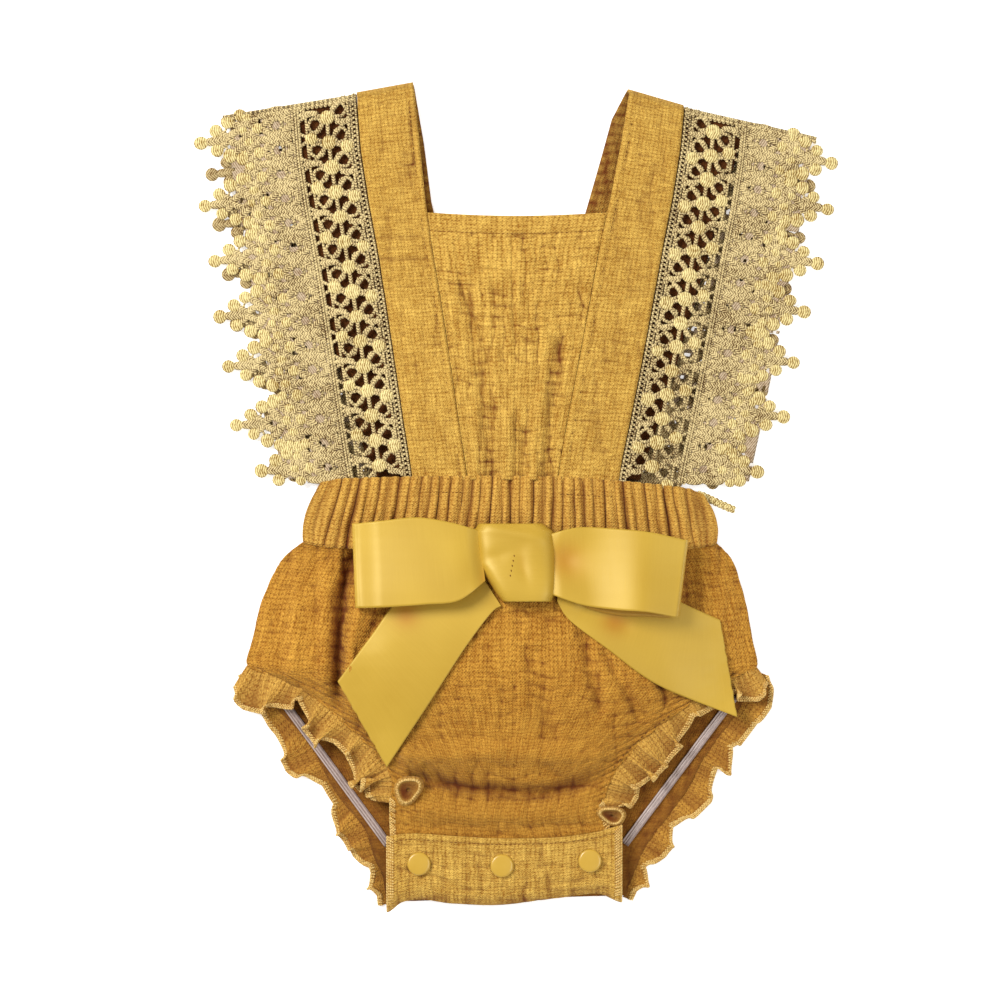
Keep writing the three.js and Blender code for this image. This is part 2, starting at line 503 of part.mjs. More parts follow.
// Straps: one run of cloth up the front, over the shoulder and down the back.
function strapRows(front, back) {
  const across = (row, u, z) => new THREE.Vector3(
    blend(row.outerX, row.innerX, u), blend(row.outerY, row.innerY, u), z);
  const halves = [0, 0.5, 1];
  const rows = [];
  for (let i = front.length - 1; i > 0; i--) {
    for (const step of [0, 0.5]) {
      const row = Object.fromEntries(Object.keys(front[i]).map(key =>
        [key, blend(front[i][key], front[i - 1][key], step)]));
      rows.push(halves.map(u => {
        const p = across(row, u, 0);
        return p.setZ(torsoHeight(p.x, p.y));
      }));
    }
  }
  const low = strapThick / 2;
  const foldLine = across(front[0], 1, 0).sub(across(front[0], 0, 0));
  const outward = new THREE.Vector3(-foldLine.y, foldLine.x, 0).normalize();
  if (outward.y < 0) outward.negate();
  for (let k = 0; k <= shoulderTurnSteps; k++) {
    const turn = (Math.PI * k) / shoulderTurnSteps;
    rows.push(halves.map(u => {
      const start = across(front[0], u, 0), end = across(back[0], u, 0);
      const high = torsoHeight(start.x, start.y);
      const radius = (high - low) / 2;
      const p = start.lerp(end, k / shoulderTurnSteps).addScaledVector(outward, radius * Math.sin(turn));
      return p.setZ(low + radius + radius * Math.cos(turn));
    }));
  }
  for (const row of back.slice(1)) rows.push(halves.map(u => across(row, u, low)));
  return rows;
}
add('strap_left', turnedWall(strapRows(leftStrapFront, leftStrapBack), strapThick), 'strap');
add('strap_right', turnedWall(strapRows(rightStrapFront, rightStrapBack), strapThick), 'strap');

// Lace sleeves: a flat sheet in down-and-out coordinates, laid along a strap's outer edge.
function laceMap(strap, side, topDrop, lowDrop) {
  const top = strap[0].outerY - 1.2, low = strap[strap.length - 1].outerY;
  return (at, out) => {
    const y = blend(top, low, at);
    const drop = blend(topDrop, lowDrop, at);
    const x = strapEdge(strap, 'outer', y) + side * (seamGap + 0.1 + out * Math.cos(drop));
    return new THREE.Vector2(x, y - out * Math.sin(drop));
  };
}
function laceOutline(lobes) {
  const points = [...laceEdgeStops.map(at => ({ at, out: 0 })), { at: 0, out: lobes[0].reach - 12 }];
  lobes.forEach((lobe, k) => {
    const before = k ? (lobe.at - lobes[k - 1].at) / 2 : lobe.at;
    const after = k < lobes.length - 1 ? (lobes[k + 1].at - lobe.at) / 2 : 1 - lobe.at;
    const notch = lobe.reach - lobeDepth;
    if (k) points.push({ at: lobe.at - before, out: notch });
    for (const step of lobeShape) {
      points.push({ at: lobe.at - before * step.across, out: notch + lobeDepth * step.out });
    }
    points.push({ at: lobe.at, out: lobe.reach });
    for (const step of [...lobeShape].reverse()) {
      points.push({ at: lobe.at + after * step.across, out: notch + lobeDepth * step.out });
    }
  });
  points.push({ at: 1, out: lobes[lobes.length - 1].reach - 14 });
  return points;
}
function laceGeometry(lobes, place, bottomAt) {
  const long = 176;
  const outline = laceOutline(lobes).map(p => place(p.at, p.out));
  if (THREE.ShapeUtils.isClockWise(outline)) outline.reverse();
  const shape = new THREE.Shape(outline);
  const holes = laceHoleRows.flatMap(row => Array.from({ length: laceRepeats }, (_, k) =>
    ({ at: (k + row.shift) / laceRepeats, out: row.out })));
  holes.push(...lobes.map(lobe => ({ at: lobe.at, out: lobe.reach - 20.5 })));
  for (const hole of holes) {
    if (hole.at < 0.03 || hole.at > 0.97) continue;
    const s = laceHoleHalf / long;
    shape.holes.push(new THREE.Path([
      place(hole.at - s, hole.out), place(hole.at, hole.out + laceHoleHalf),
      place(hole.at + s, hole.out), place(hole.at, hole.out - laceHoleHalf),
    ]));
  }
  const geometry = new THREE.ExtrudeGeometry(shape, { depth: laceThick, bevelEnabled: false, steps: 1 });
  const position = geometry.getAttribute('position');
  for (let k = 0; k < position.count; k++) {
    position.setZ(k, position.getZ(k) + bottomAt(position.getX(k), position.getY(k)));
  }
  return geometry;
}
// The front layer leaves the strap at the strap's height and sinks onto the back layer.
const sinkTo = (strap, side) => (x, y) => {
  const edge = strapEdge(strap, 'outer', y);
  const high = torsoHeight(edge, y) - laceThick / 2;
  const out = Math.min(Math.max(side * (x - edge), 0) / 72, 1);
  return blend(high, laceThick + 0.5, out);
};
add('lace_left_front', laceGeometry(leftLaceFront, laceMap(leftStrapFront, -1, 0.155, 0.03),
  sinkTo(leftStrapFront, -1)), 'lace');
add('lace_left_back', laceGeometry(leftLaceBack, laceMap(leftStrapBack, -1, 0.155, 0.02), () => 0), 'lace');
add('lace_right_front', laceGeometry(rightLaceFront, laceMap(rightStrapFront, 1, 0.215, 0.05),
  sinkTo(rightStrapFront, 1)), 'lace');
add('lace_right_back', laceGeometry(rightLaceBack, laceMap(rightStrapBack, 1, 0.215, 0.05), () => 0), 'lace');

// Plain strip that backs the inner band of each sleeve, on the back lace.
function liningGeometry(place) {
  const rows = grid(9, 2, (v, u) => {
    const p = place(blend(0.03, 0.97, v), blend(0.6, liningWide, u));
    return new THREE.Vector3(p.x, p.y, laceThick + seamGap + liningThick / 2);
  });
  return layWall(rows, liningThick);
}
add('lace_lining_left', liningGeometry(laceMap(leftStrapBack, -1, 0.155, 0.02)), 'lining');
add('lace_lining_right', liningGeometry(laceMap(rightStrapBack, 1, 0.215, 0.05)), 'lining');

// Leg frills: cloth gathered on the leg seam, its free edge in waves.
function frillRows(frill, lines, firstRow, lastRow, end, seamZ, waves, waveRise) {
  const stations = 4 * waves;
  const side = end === 'left' ? 1 : -1;
  const seam = s => {
    const p = panelPoint(lines, blend(firstRow, lastRow, s), end === 'left' ? 0 : 1);
    return new THREE.Vector3(p.x, p.y, 0);
  };
  return Array.from({ length: stations + 1 }, (_, j) => {
    const s = j / stations;
    const along = seam(Math.min(s + 0.04, 1)).sub(seam(Math.max(s - 0.04, 0))).normalize();
    const out = new THREE.Vector3(side * along.y, -side * along.x, 0);
    const reach = lookup(frill, 'at', s, 'reach');
    const rise = lookup(frill, 'at', s, 'rise') + waveRise * Math.sin((Math.PI * j) / 2) * Math.min(1, reach / 8);
    return [0, 0.55, 1].map(r => {
      const base = seam(s).addScaledVector(out, 2 * seamGap + reach * r);
      return base.setZ(seamZ(seam(s)) + rise * r * r);
    });
  });
}
const frontSeamZ = p => frontHeight(p.x, p.y);
const backSeamZ = () => frillThick / 2 + 0.05;
add('leg_frill_front_left', layWall(
  frillRows(leftFrontFrill, frontLines, frontLegStart, frontLegEnd, 'left', frontSeamZ, 11, 0.9),
  frillThick), 'cotton');
add('leg_frill_front_right', layWall(
  frillRows(rightFrontFrill, frontLines, frontLegStart, frontLegEnd, 'right', frontSeamZ, 11, 0.9),
  frillThick), 'cotton');
add('leg_frill_back_left', layWall(
  frillRows(leftBackFrill, backLines, backLegStart, backLegEnd, 'left', backSeamZ, 10, 0),
  frillThick), 'cotton');
add('leg_frill_back_right', layWall(
  frillRows(rightBackFrill, backLines, backLegStart, backLegEnd, 'right', backSeamZ, 10, 0),
  frillThick), 'cotton');

// Elastic tapes along the back leg edges, on the inside of the back panel.
for (const tape of elastics) {
  const long = Math.hypot(tape.toX - tape.fromX, tape.toY - tape.fromY);
  const mesh = add(tape.name, new THREE.BoxGeometry(long, elasticWide, elasticThick), 'elastic');
  mesh.position.set((tape.fromX + tape.toX) / 2, (tape.fromY + tape.toY) / 2,
    cottonThick + seamGap + elasticThick / 2);
  mesh.rotation.z = Math.atan2(tape.toY - tape.fromY, tape.toX - tape.fromX);
}

// Snap band with its three caps.
const placketSeat = (x, y) => frontHeight(x, y) + placketDrop[0].rise;
const placketRows = grid(8, 13, (v, u) => {
  const x = blend(placketLines[0].x, placketLines[placketLines.length - 1].x, u);
  const top = lookup(placketLines, 'x', x, 'topY'), low = lookup(placketLines, 'x', x, 'bottomY');
  const y = blend(top, low, v ** 0.8);
  const rise = smooth(placketDrop, 'rise', lookupRow(placketDrop, 'along', v ** 0.8));
  return new THREE.Vector3(x, y, Math.max(frontHeight(x, y) + rise, 2.5));
});
function lookupRow(table, key, value) {
  const past = Math.max(table.findIndex(row => row[key] >= value), 1);
  return past - 1 + (value - table[past - 1][key]) / (table[past][key] - table[past - 1][key]);
}
add('crotch_band', layWall(placketRows, placketThick), 'cotton');
const capProfile = [
  [0, 0], [capRadius - 0.5, 0], [capRadius, 0.6], [capRadius - 0.5, 1.3], [capRadius - 1.8, capRise],
  [1.4, capRise], [1.1, capRise - 0.4], [0, capRise - 0.5],
].map(([r, h]) => new THREE.Vector2(r, h));
for (const cap of snapCaps) {
  const mesh = add(cap.name, new THREE.LatheGeometry(capProfile, 12), 'plastic');
  mesh.rotation.x = Math.PI / 2;
  mesh.position.set(cap.x, cap.y, placketSeat(cap.x, cap.y) + placketThick / 2 + 1.5 * seamGap);
}

// Bow: each loop is a ribbon out from the knot, folded back over itself.
const ribbonPoint = (table, row, u) => new THREE.Vector3(
  blend(smooth(table, 'topX', row), smooth(table, 'lowX', row), u),
  blend(smooth(table, 'topY', row), smooth(table, 'lowY', row), u), 0);
const onFront = (p, rise) => p.setZ(frontHeight(p.x, p.y) + rise);
const tailSeat = pleatRise + bandThick / 2 + seamGap + ribbonThick / 2;
const loopSeat = tailSeat + ribbonThick + seamGap + 0.2;
const loopTop = loopSeat + loopGap + ribbonThick;
function loopRows(table) {
  const last = table.length - 1;
  const rows = [];
  const cross = (row, rise) => Array.from({ length: 5 }, (_, j) => onFront(ribbonPoint(table, row, j / 4), rise(j / 4)));
  for (let k = 0; k <= 5; k++) rows.push(cross((last * k) / 5, () => loopSeat));
  const mid = (loopSeat + loopTop) / 2, radius = (loopTop - loopSeat) / 2;
  const away = Math.sign(table[last].topX);
  for (const turn of [-Math.PI / 4, 0, Math.PI / 4]) {
    rows.push(cross(last, () => mid + radius * Math.sin(turn)).map(p => p.setX(p.x + away * radius * Math.cos(turn))));
  }
  for (let k = 5; k >= 0; k--) {
    const puff = 1.6 * Math.sin((Math.PI * k) / 5);
    rows.push(cross((last * k) / 5, u => loopTop + puff * Math.sin(Math.PI * u) * 0.6));
  }
  return rows;
}
add('bow_loop_left', turnedWall(loopRows(leftLoop), ribbonThick), 'satin');
add('bow_loop_right', turnedWall(loopRows(rightLoop), ribbonThick), 'satin');
function tailRows(table) {
  return grid(10, 5, (v, u) => {
    const p = ribbonPoint(table, v * (table.length - 1), u);
    return onFront(p, tailSeat + 0.25 * Math.sin(9 * v) * v);
  });
}
add('bow_tail_left', layWall(tailRows(leftTail), ribbonThick), 'satin');
add('bow_tail_right', layWall(tailRows(rightTail), ribbonThick), 'satin');

// Knot: the ribbon drawn round the middle, full in the centre and tucked in at the sides.
const knotUnder = grid(9, 9, (v, u) => {
  const y = blend(knotLines[0].y, knotLines[knotLines.length - 1].y, v);
  const x = blend(lookup(knotLines, 'y', y, 'left'), lookup(knotLines, 'y', y, 'right'), u);
  return onFront(new THREE.Vector3(x, y, 0), tailSeat - ribbonThick / 2);
});
const knotOver = knotUnder.map((row, i) => row.map((p, j) => {
  const u = (2 * j) / 8 - 1, v = (2 * i) / 8 - 1;
  const full = (1 - u ** 4) ** 0.5 * (1 - 0.35 * v ** 2);
  const crease = 0.7 * Math.sin(6 * u + 1.2 * v) * (1 - u * u);
  return new THREE.Vector3(p.x, p.y, p.z + Math.max(knotRise * full + crease, 2.2));
}));
add('bow_knot', solidBetween(knotOver, knotUnder), 'satin');

export default garment;
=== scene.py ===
# Baby romper in mustard crinkle cotton, laid flat and seen from straight above.
# Lengths in the tables are millimetres, x to the right and y towards the shoulders.
import random
from math import cos, exp, hypot, pi, sin

import bmesh
import bpy
from mathutils import Matrix, Vector, noise


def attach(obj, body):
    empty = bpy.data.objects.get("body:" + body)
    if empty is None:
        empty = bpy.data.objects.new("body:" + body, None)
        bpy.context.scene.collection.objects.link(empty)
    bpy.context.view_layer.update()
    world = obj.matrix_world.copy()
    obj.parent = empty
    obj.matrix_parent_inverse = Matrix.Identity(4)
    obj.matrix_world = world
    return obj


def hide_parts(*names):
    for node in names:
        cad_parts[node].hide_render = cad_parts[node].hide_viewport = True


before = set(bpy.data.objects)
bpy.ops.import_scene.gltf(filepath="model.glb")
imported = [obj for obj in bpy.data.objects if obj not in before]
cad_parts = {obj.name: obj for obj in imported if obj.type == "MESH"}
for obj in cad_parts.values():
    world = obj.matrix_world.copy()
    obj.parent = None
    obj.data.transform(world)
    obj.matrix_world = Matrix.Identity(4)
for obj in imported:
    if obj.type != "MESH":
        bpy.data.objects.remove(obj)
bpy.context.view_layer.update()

mm = 0.001
seamGap = 0.3


# Tables of the garment's lines, the same as the solids'

def lookup(table, value, column, key=0):
    rising = table[-1][key] > table[0][key]
    past = next((i for i, row in enumerate(table)
                 if (row[key] >= value if rising else row[key] <= value)), None)
    if past == 0:
        return table[0][column]
    if past is None:
        return table[-1][column]
    a, b = table[past - 1], table[past]
    return mix(a[column], b[column], (value - a[key]) / (b[key] - a[key]))


def mix(a, b, t):
    return a + (b - a) * t


def clamp(value, low=0.0, high=1.0):
    return min(max(value, low), high)


def ease(t):
    t = clamp(t)
    return t * t * (3 - 2 * t)


def smooth(table, row, column):
    last = len(table) - 1
    i = int(clamp(int(row // 1), 0, last - 1))
    t = row - i
    p, q, r, s = (table[int(clamp(k, 0, last))][column] for k in (i - 1, i, i + 1, i + 2))
    return 0.5 * (2 * q + (r - p) * t + (2 * p - 5 * q + 4 * r - s) * t * t
                  + (3 * q - p - 3 * r + s) * t * t * t)


# y, left edge, right edge, height of the middle, height of the edges
frontHeights = [
    (9, -90, 87, 9.6, 4.2), (0, -95.4, 88, 10.2, 4.2), (-20, -97.6, 93, 11.5, 4.0),
    (-25, -101, 96, 12.2, 2.1), (-37.5, -112.2, 103.5, 15, 2.1), (-50, -117.3, 106.7, 17.5, 2.1),
    (-66, -121, 109.5, 19, 2.1), (-78, -123.3, 111.3, 19.5, 2.6), (-83, -110.4, 100.3, 19.3, 5.6),
    (-90, -97.5, 87.9, 18.6, 8.4), (-98.7, -85.1, 75, 17.4, 9.8), (-108.3, -74.1, 63, 15.6, 10.2),
    (-118.5, -63, 52.9, 13.6, 10), (-129, -54.7, 44.6, 11.4, 9.2), (-141, -57, 40, 9, 8),
    (-154, -57.5, 43.7, 7, 6.4), (-180, -55.7, 45.5, 5.4, 5.2),
]
# left x and y, right x and y, y in the middle
frontLines = [
    (-97.5, -20.6, 92.7, -21.0, -24.2), (-106.3, -27.6, 99.8, -28.5, -31),
    (-112.2, -37.3, 103.5, -38.2, -41), (-117.3, -50.1, 106.7, -50.1, -54),
    (-121.0, -65.8, 109.5, -65.8, -69.5), (-123.3, -77.7, 111.3, -78.7, -84),
    (-110.4, -82.8, 100.3, -83.3, -95), (-97.5, -89.2, 87.9, -90.2, -104.5),
    (-85.1, -98.0, 75.0, -99.4, -114), (-74.1, -108.6, 63.0, -108.1, -122.4),
    (-63.0, -119.1, 52.9, -117.8, -130.2), (-57.0, -128.8, 44.6, -129.3, -138.0),
    (-57.4, -140.8, 41.0, -142.1, -147.7), (-57.2, -154.1, 43.7, -154.1, -157.5),
    (-55.7, -176.0, 45.0, -176.0, -178.0),
]
backLines = [
    (-97.5, -20.6, 92.7, -21.0, -24.2), (-112.2, -37.3, 103.5, -38.2, -41),
    (-120.8, -64.0, 109.0, -64.0, -66), (-122.5, -79.5, 110.5, -80.4, -82),
    (-110.5, -97.0, 104.0, -97.0, -98), (-95.2, -113.0, 95.0, -109.5, -112),
    (-88.5, -126.0, 86.5, -121.5, -124), (-80.5, -139.5, 80.5, -133.5, -137),
    (-69.5, -153.0, 70.5, -147.5, -151), (-65.5, -165.0, 60.5, -161.0, -164),
    (-61.0, -176.0, 55.0, -173.5, -175), (-59.3, -188.0, 51.0, -185.0, -186.6),
]
bandTop = [(-89.5, 5.6), (-80.5, 7.4), (-52.9, 8.3), (-6.9, 8.7), (20.7, 8.3), (48.3, 6.4),
           (66.7, 4.6), (80.5, 2.8), (87, 0)]
bandBottom = [(-97.4, -20.2), (-92, -21.4), (-85, -22.3), (-75, -22.9), (-6.9, -23.8),
              (70, -23.6), (80, -23.0), (87, -22.1), (92.7, -20.8)]
# outer edge x and y, inner edge x and y, shoulder to waist
leftStrapFront = [
    (-72.7, 184.0, -46.7, 188.6), (-70.8, 159.6, -43.9, 162.0), (-67.2, 136.6, -41.5, 138.0),
    (-63.0, 113.6, -38.4, 115.0), (-59.3, 90.6, -34.5, 91.5), (-55.2, 63.0, -30.2, 63.5),
    (-51.1, 35.4, -26.2, 35.7), (-46.9, 9.2, -22.1, 9.2),
]
leftStrapBack = [
    (-72.4, 184.0, -46.4, 188.6), (-69.5, 160.0, -42.0, 163.0), (-64.5, 133.0, -38.6, 136.5),
    (-56.0, 95.0, -30.5, 100.0), (-43.5, 50.0, -18.0, 55.0), (-31.2, 9.2, -5.8, 9.2),
]
rightStrapFront = [
    (77.7, 178.0, 52.6, 185.2), (75.9, 159.6, 49.2, 164.2), (72.2, 136.6, 44.6, 140.2),
    (67.6, 113.6, 39.4, 116.2), (63.5, 90.6, 35.0, 91.6), (58.4, 63.0, 29.9, 64.0),
    (52.9, 35.4, 24.4, 35.8), (47.4, 9.2, 19.8, 9.2),
]
rightStrapBack = [
    (76.0, 178.4, 50.6, 185.6), (69.5, 168.0, 44.6, 174.0), (65.5, 153.0, 40.5, 159.0),
    (60.0, 132.0, 34.5, 138.0), (50.0, 99.0, 25.0, 105.0), (37.0, 53.0, 12.0, 58.0),
    (23.2, 9.2, -1.8, 9.2),
]
# y, height of the middle, height at the straps' outer edges
torsoHeights = [(195, 5.2, 5.0), (165, 5.6, 5.0), (131, 7.6, 5.2), (90, 9.2, 5.6),
                (40, 10.0, 6.6), (9, 9.8, 7.6)]


def frontHeight(x, y):
    left, right, centre, edge = (lookup(frontHeights, y, column) for column in (1, 2, 3, 4))
    u = clamp((x - left) / (right - left))
    return edge + (centre - edge) * (1 - abs(2 * u - 1) ** 2.4)


def torsoHeight(x, y):
    left = lookup(leftStrapFront, y, 0, key=1)
    right = lookup(rightStrapFront, y, 0, key=1)
    u = clamp((x - left) / (right - left))
    edge = lookup(torsoHeights, y, 2)
    return edge + (lookup(torsoHeights, y, 1) - edge) * (1 - abs(2 * u - 1) ** 2)


def panelPoint(lines, row, u):
    leftX, leftY, rightX, rightY, midY = (smooth(lines, row, column) for column in range(5))
    x = mix(leftX, rightX, u)
    y = mix(leftY, rightY, u) + (midY - (leftY + rightY) / 2) * (1 - (2 * u - 1) ** 2)
    return x, min(y, lookup(bandBottom, x, 1) - 1.5 * seamGap)


def toBand(x, y):
    # the last centimetre runs down to the waistband and a little under its edge
    return mix(y, y - 9.2 + lookup(bandTop, x, 1) - 0.6, 1 - ease((y - 9.2) / 9))


# Folds and crinkle

def foldRise(folds, x, y):
    # each fold is a ridge, or below nought a valley, along a run of points
    total = 0.0
    for points, rise, wide in folds:
        nearest = 1e9
        for (ax, ay), (bx, by) in zip(points, points[1:]):
            dx, dy = bx - ax, by - ay
            t = clamp(((x - ax) * dx + (y - ay) * dy) / (dx * dx + dy * dy))
            nearest = min(nearest, hypot(x - ax - t * dx, y - ay - t * dy))
        if nearest < 3 * wide:
            total += rise * exp(-(nearest / wide) ** 2)
    return total


def crinkle(x, y, seed, across=6.6, down=5.8):
    # soft puffs between the tacking lines of a double gauze, higher in the middle of each
    sway = 0.55 * noise.noise((x * 0.035, y * 0.09, seed))
    drift = 0.55 * noise.noise((x * 0.09, y * 0.035, seed + 7))
    # each tacking line comes and goes along its length
    upright = 0.62 + 0.9 * noise.noise((x * 0.12, y * 0.05, seed + 11))
    level = 0.72 + 0.9 * noise.noise((x * 0.05, y * 0.12, seed + 13))
    puff = (1 - upright * (1 - abs(sin(pi * (x / across + sway))) ** 0.4)
            - level * (1 - abs(sin(pi * (y / down + drift))) ** 0.36))
    fine = noise.noise((x * 0.5, y * 0.36, seed + 3))
    pull = noise.noise((x * 0.16, y * 0.05, seed + 5))
    return 0.8 * (max(puff, -0.3) - 0.72) + 0.28 * fine + 0.36 * pull


def gathered(place, spacing, seed):
    # narrow ridges beside a gathered seam
    wander = 0.9 * noise.noise((place * 0.06, seed, 0.0))
    return abs(sin(pi * (place / spacing + wander))) ** 0.7 * (0.8 + 0.9 * noise.noise((place * 0.17, seed, 4.0)))


# Meshes

def newSheet(cols, rows, flat, place):
    # a grid laid out by place(u, v), which gives x, y, z and how much shade is painted on the spot, most in folds and
    # hollows
    made = bmesh.new()
    weave = made.loops.layers.uv.new("weave")
    paintedShade = made.verts.layers.float.new("paintedShade")
    bmesh.ops.create_grid(made, x_segments=cols, y_segments=rows, size=0.5)
    for face in made.faces:
        for loop in face.loops:
            loop[weave].uv = ((loop.vert.co.x + 0.5) * flat[0] * mm, (loop.vert.co.y + 0.5) * flat[1] * mm)
    for vert in made.verts:
        x, y, z, depth = place(clamp(vert.co.x + 0.5), clamp(vert.co.y + 0.5))
        vert[paintedShade] = clamp(depth)
        vert.co = Vector((x, y, z)) * mm
    return made


def finishPiece(name, made, material, nodes=(), thick=None):
    mesh = bpy.data.meshes.new(name)
    made.to_mesh(mesh)
    made.free()
    mesh.shade_smooth()
    mesh.materials.append(material)
    piece = bpy.data.objects.new(name, mesh)
    bpy.context.scene.collection.objects.link(piece)
    if thick:
        wall = piece.modifiers.new("cloth thickness", "SOLIDIFY")
        wall.thickness = thick * mm
        wall.offset = 0.0
    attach(piece, "root")
    if nodes:
        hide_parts(*nodes)
    return piece


# A thread, a ball, a leaf and a bead, each made once and set in place many times

def pattern(maker, finish=0):
    shape = bmesh.new()
    weave = shape.loops.layers.uv.new("weave")
    maker(shape)
    for face in shape.faces:
        for loop in face.loops:
            loop[weave].uv = (loop.vert.co.z, loop.vert.co.x)
        face.material_index = finish
    mesh = bpy.data.meshes.new("pattern")
    shape.to_mesh(mesh)
    shape.free()
    places = [0.0] * (2 * len(mesh.loops))
    mesh.uv_layers[0].uv.foreach_get("vector", places)
    return mesh, places


threadShape = pattern(lambda shape: bmesh.ops.create_cone(
    shape, cap_ends=True, segments=5, radius1=1, radius2=1, depth=2))
ballShape = pattern(lambda shape: bmesh.ops.create_uvsphere(shape, u_segments=12, v_segments=6, radius=1), finish=1)
leafShape = pattern(lambda shape: bmesh.ops.create_uvsphere(shape, u_segments=8, v_segments=6, radius=1))
beadShape = pattern(lambda shape: bmesh.ops.create_uvsphere(shape, u_segments=6, v_segments=4, radius=1))


def setPattern(made, shape, centre, along, long, wide, high):
    # z of the pattern runs along the thread; a ball's poles lie at the ends
    mesh, places = shape
    along = along.normalized()
    side = along.cross(Vector((0, 0, 1)))
    side = side.normalized() if side.length > 1e-6 else Vector((1, 0, 0))
    up = side.cross(along)
    turn = Matrix((side * wide / 2, up * high / 2, along * long / 2)).transposed().to_4x4()
    turn.translation = centre
    copy = mesh.copy()
    copy.transform(Matrix.Scale(mm, 4) @ turn)
    scaled = [place * (long if k % 2 == 0 else wide) / 2 * mm for k, place in enumerate(places)]
    copy.uv_layers[0].uv.foreach_set("vector", scaled)
    made.from_mesh(copy)
    bpy.data.meshes.remove(copy)


def addBar(made, start, end, radius, flatten=1.0):
    # a round thread from start to end, in millimetres
    if (end - start).length > 0.05:
        setPattern(made, threadShape, (start + end) / 2, end - start, (end - start).length,
                   radius * 2, radius * 2 * flatten)


# Materials

class Socket:
    # a shader socket that takes part in sums

    def __init__(self, tree, socket=None):
        self.tree = tree
        self.socket = socket

    def node(self, kind, settings=None, inputs=None, output=0):
        made = self.tree.nodes.new(kind)
        for name, value in (settings or {}).items():
            if name == "stops":
                for spare in list(made.color_ramp.elements)[1:]:
                    made.color_ramp.elements.remove(spare)
                for count, (place, colour) in enumerate(value):
                    stop = made.color_ramp.elements[0] if count == 0 else made.color_ramp.elements.new(place)
                    stop.position, stop.color = place, colour
            else:
                setattr(made, name, value)
        for name, value in (inputs or {}).items():
            if isinstance(value, Socket):
                self.tree.links.new(value.socket, made.inputs[name])
            else:
                made.inputs[name].default_value = value
        return Socket(self.tree, made.outputs[output])

    def maths(self, operation, *values, limit=False):
        return self.node("ShaderNodeMath", {"operation": operation, "use_clamp": limit},
                         dict(enumerate(values)))

    def __add__(self, other):
        return self.maths("ADD", self, other)

    def __sub__(self, other):
        return self.maths("SUBTRACT", self, other)

    def __mul__(self, other):
        return self.maths("MULTIPLY", self, other)

    __radd__ = __add__
    __rmul__ = __mul__

    def sine(self):
        return self.maths("SINE", self)

    def size(self):
        return self.maths("ABSOLUTE", self)

    def power(self, value):
        return self.maths("POWER", self, value)

    def limited(self):
        return self.maths("MULTIPLY", self, 1.0, limit=True)

    def part(self, axis):
        return self.node("ShaderNodeSeparateXYZ", None, {0: self}, output=axis)

    def grain(self, scale, detail=2.0):
        return self.node("ShaderNodeTexNoise", None, {"Vector": self, "Scale": scale, "Detail": detail})

    def stretched(self, x, y, z=1.0):
        return self.node("ShaderNodeMapping", None, {"Vector": self, "Scale": (x, y, z)})

    def between(self, low, high):
        # two colours mixed by this value
        return self.node("ShaderNodeMix", {"data_type": "RGBA"}, {0: self, 6: low, 7: high}, output=2)


def newMaterial(name, roughness, **fixed):
    material = bpy.data.materials.new(name)
    material.use_nodes = True
    shader = material.node_tree.nodes["Principled BSDF"]
    shader.inputs["Roughness"].default_value = roughness
    for socket, value in fixed.items():
        shader.inputs[socket.replace("_", " ")].default_value = value
    return material, Socket(material.node_tree), shader


def connect(start, shader, **values):
    for name, value in values.items():
        start.tree.links.new(value.socket, shader.inputs[name.replace("_", " ")])


def colour(red, green, blue, alpha=1.0):
    # from screen values to the linear ones that a shader takes
    def linear(value):
        value = value / 255
        return value / 12.92 if value <= 0.04045 else ((value + 0.055) / 1.055) ** 2.4
    return (linear(red), linear(green), linear(blue), alpha)


def clothMaterial(name, dark, light, shadeColour, pitch=1.3, bump=0.85, rows=0.5, columns=0.4):
    # a loose weave with slubs, and the small creases that run along and across it, bumped and also painted into the
    # colour as light and shade; the paintedShade attribute mixes in the painted shade colour
    material, start, shader = newMaterial(name, 0.92, Sheen_Weight=0.05, Sheen_Roughness=0.5,
                                          Specular_IOR_Level=0.12)
    place = start.node("ShaderNodeUVMap", {"uv_map": "weave"})
    sway = place.grain(220.0) * (1.2 * mm)
    turn = 2 * pi / (pitch * mm)
    across = ((place.part(0) + sway) * turn).sine()
    down = ((place.part(1) + sway) * turn).sine()
    threads = across * down
    slub = place.stretched(1.0, 1.5).grain(900.0, 3.0)
    row = place.stretched(0.22, 1.0).grain(520.0, 3.0)
    column = place.stretched(1.0, 0.16).grain(420.0, 2.0)
    patch = place.grain(70.0, 3.0)
    creased = (row - 0.5) * rows + (column - 0.5) * columns
    # thin dark lines between the heavier threads, broken by the slubs
    wide = 2 * pi / (1.9 * mm)
    lines = ((((place.part(0) + sway * 2.4) * wide).sine() * 0.5 + 0.5).power(5)
             + (((place.part(1) + sway * 2.4) * wide).sine() * 0.5 + 0.5).power(5))
    # painted light and shade along the small creases, mixed with the weave's own tone
    tone = (0.59 + threads * 0.16 + (slub - 0.5) * 1.4 + creased * 2.0 + (patch - 0.5) * 0.5
            - lines * row * 0.45).limited()
    # painted shade: the paintedShade attribute turns the cloth towards the shade colour in folds and hollows
    paintedShade = start.node("ShaderNodeAttribute", {"attribute_name": "paintedShade"}, output=2)
    base = tone.between(dark, light)
    shadeAmount = (paintedShade + (patch - 0.5) * 0.3 * paintedShade).limited()
    connect(start, shader, Base_Color=shadeAmount.between(base, shadeColour))
    rise = threads * 0.3 + slub * 0.8 + creased * 1.8 - lines * 0.3
    relief = start.node("ShaderNodeBump", None, {"Height": rise, "Strength": bump, "Distance": 0.5 * mm})
    connect(start, shader, Normal=relief)
    return material


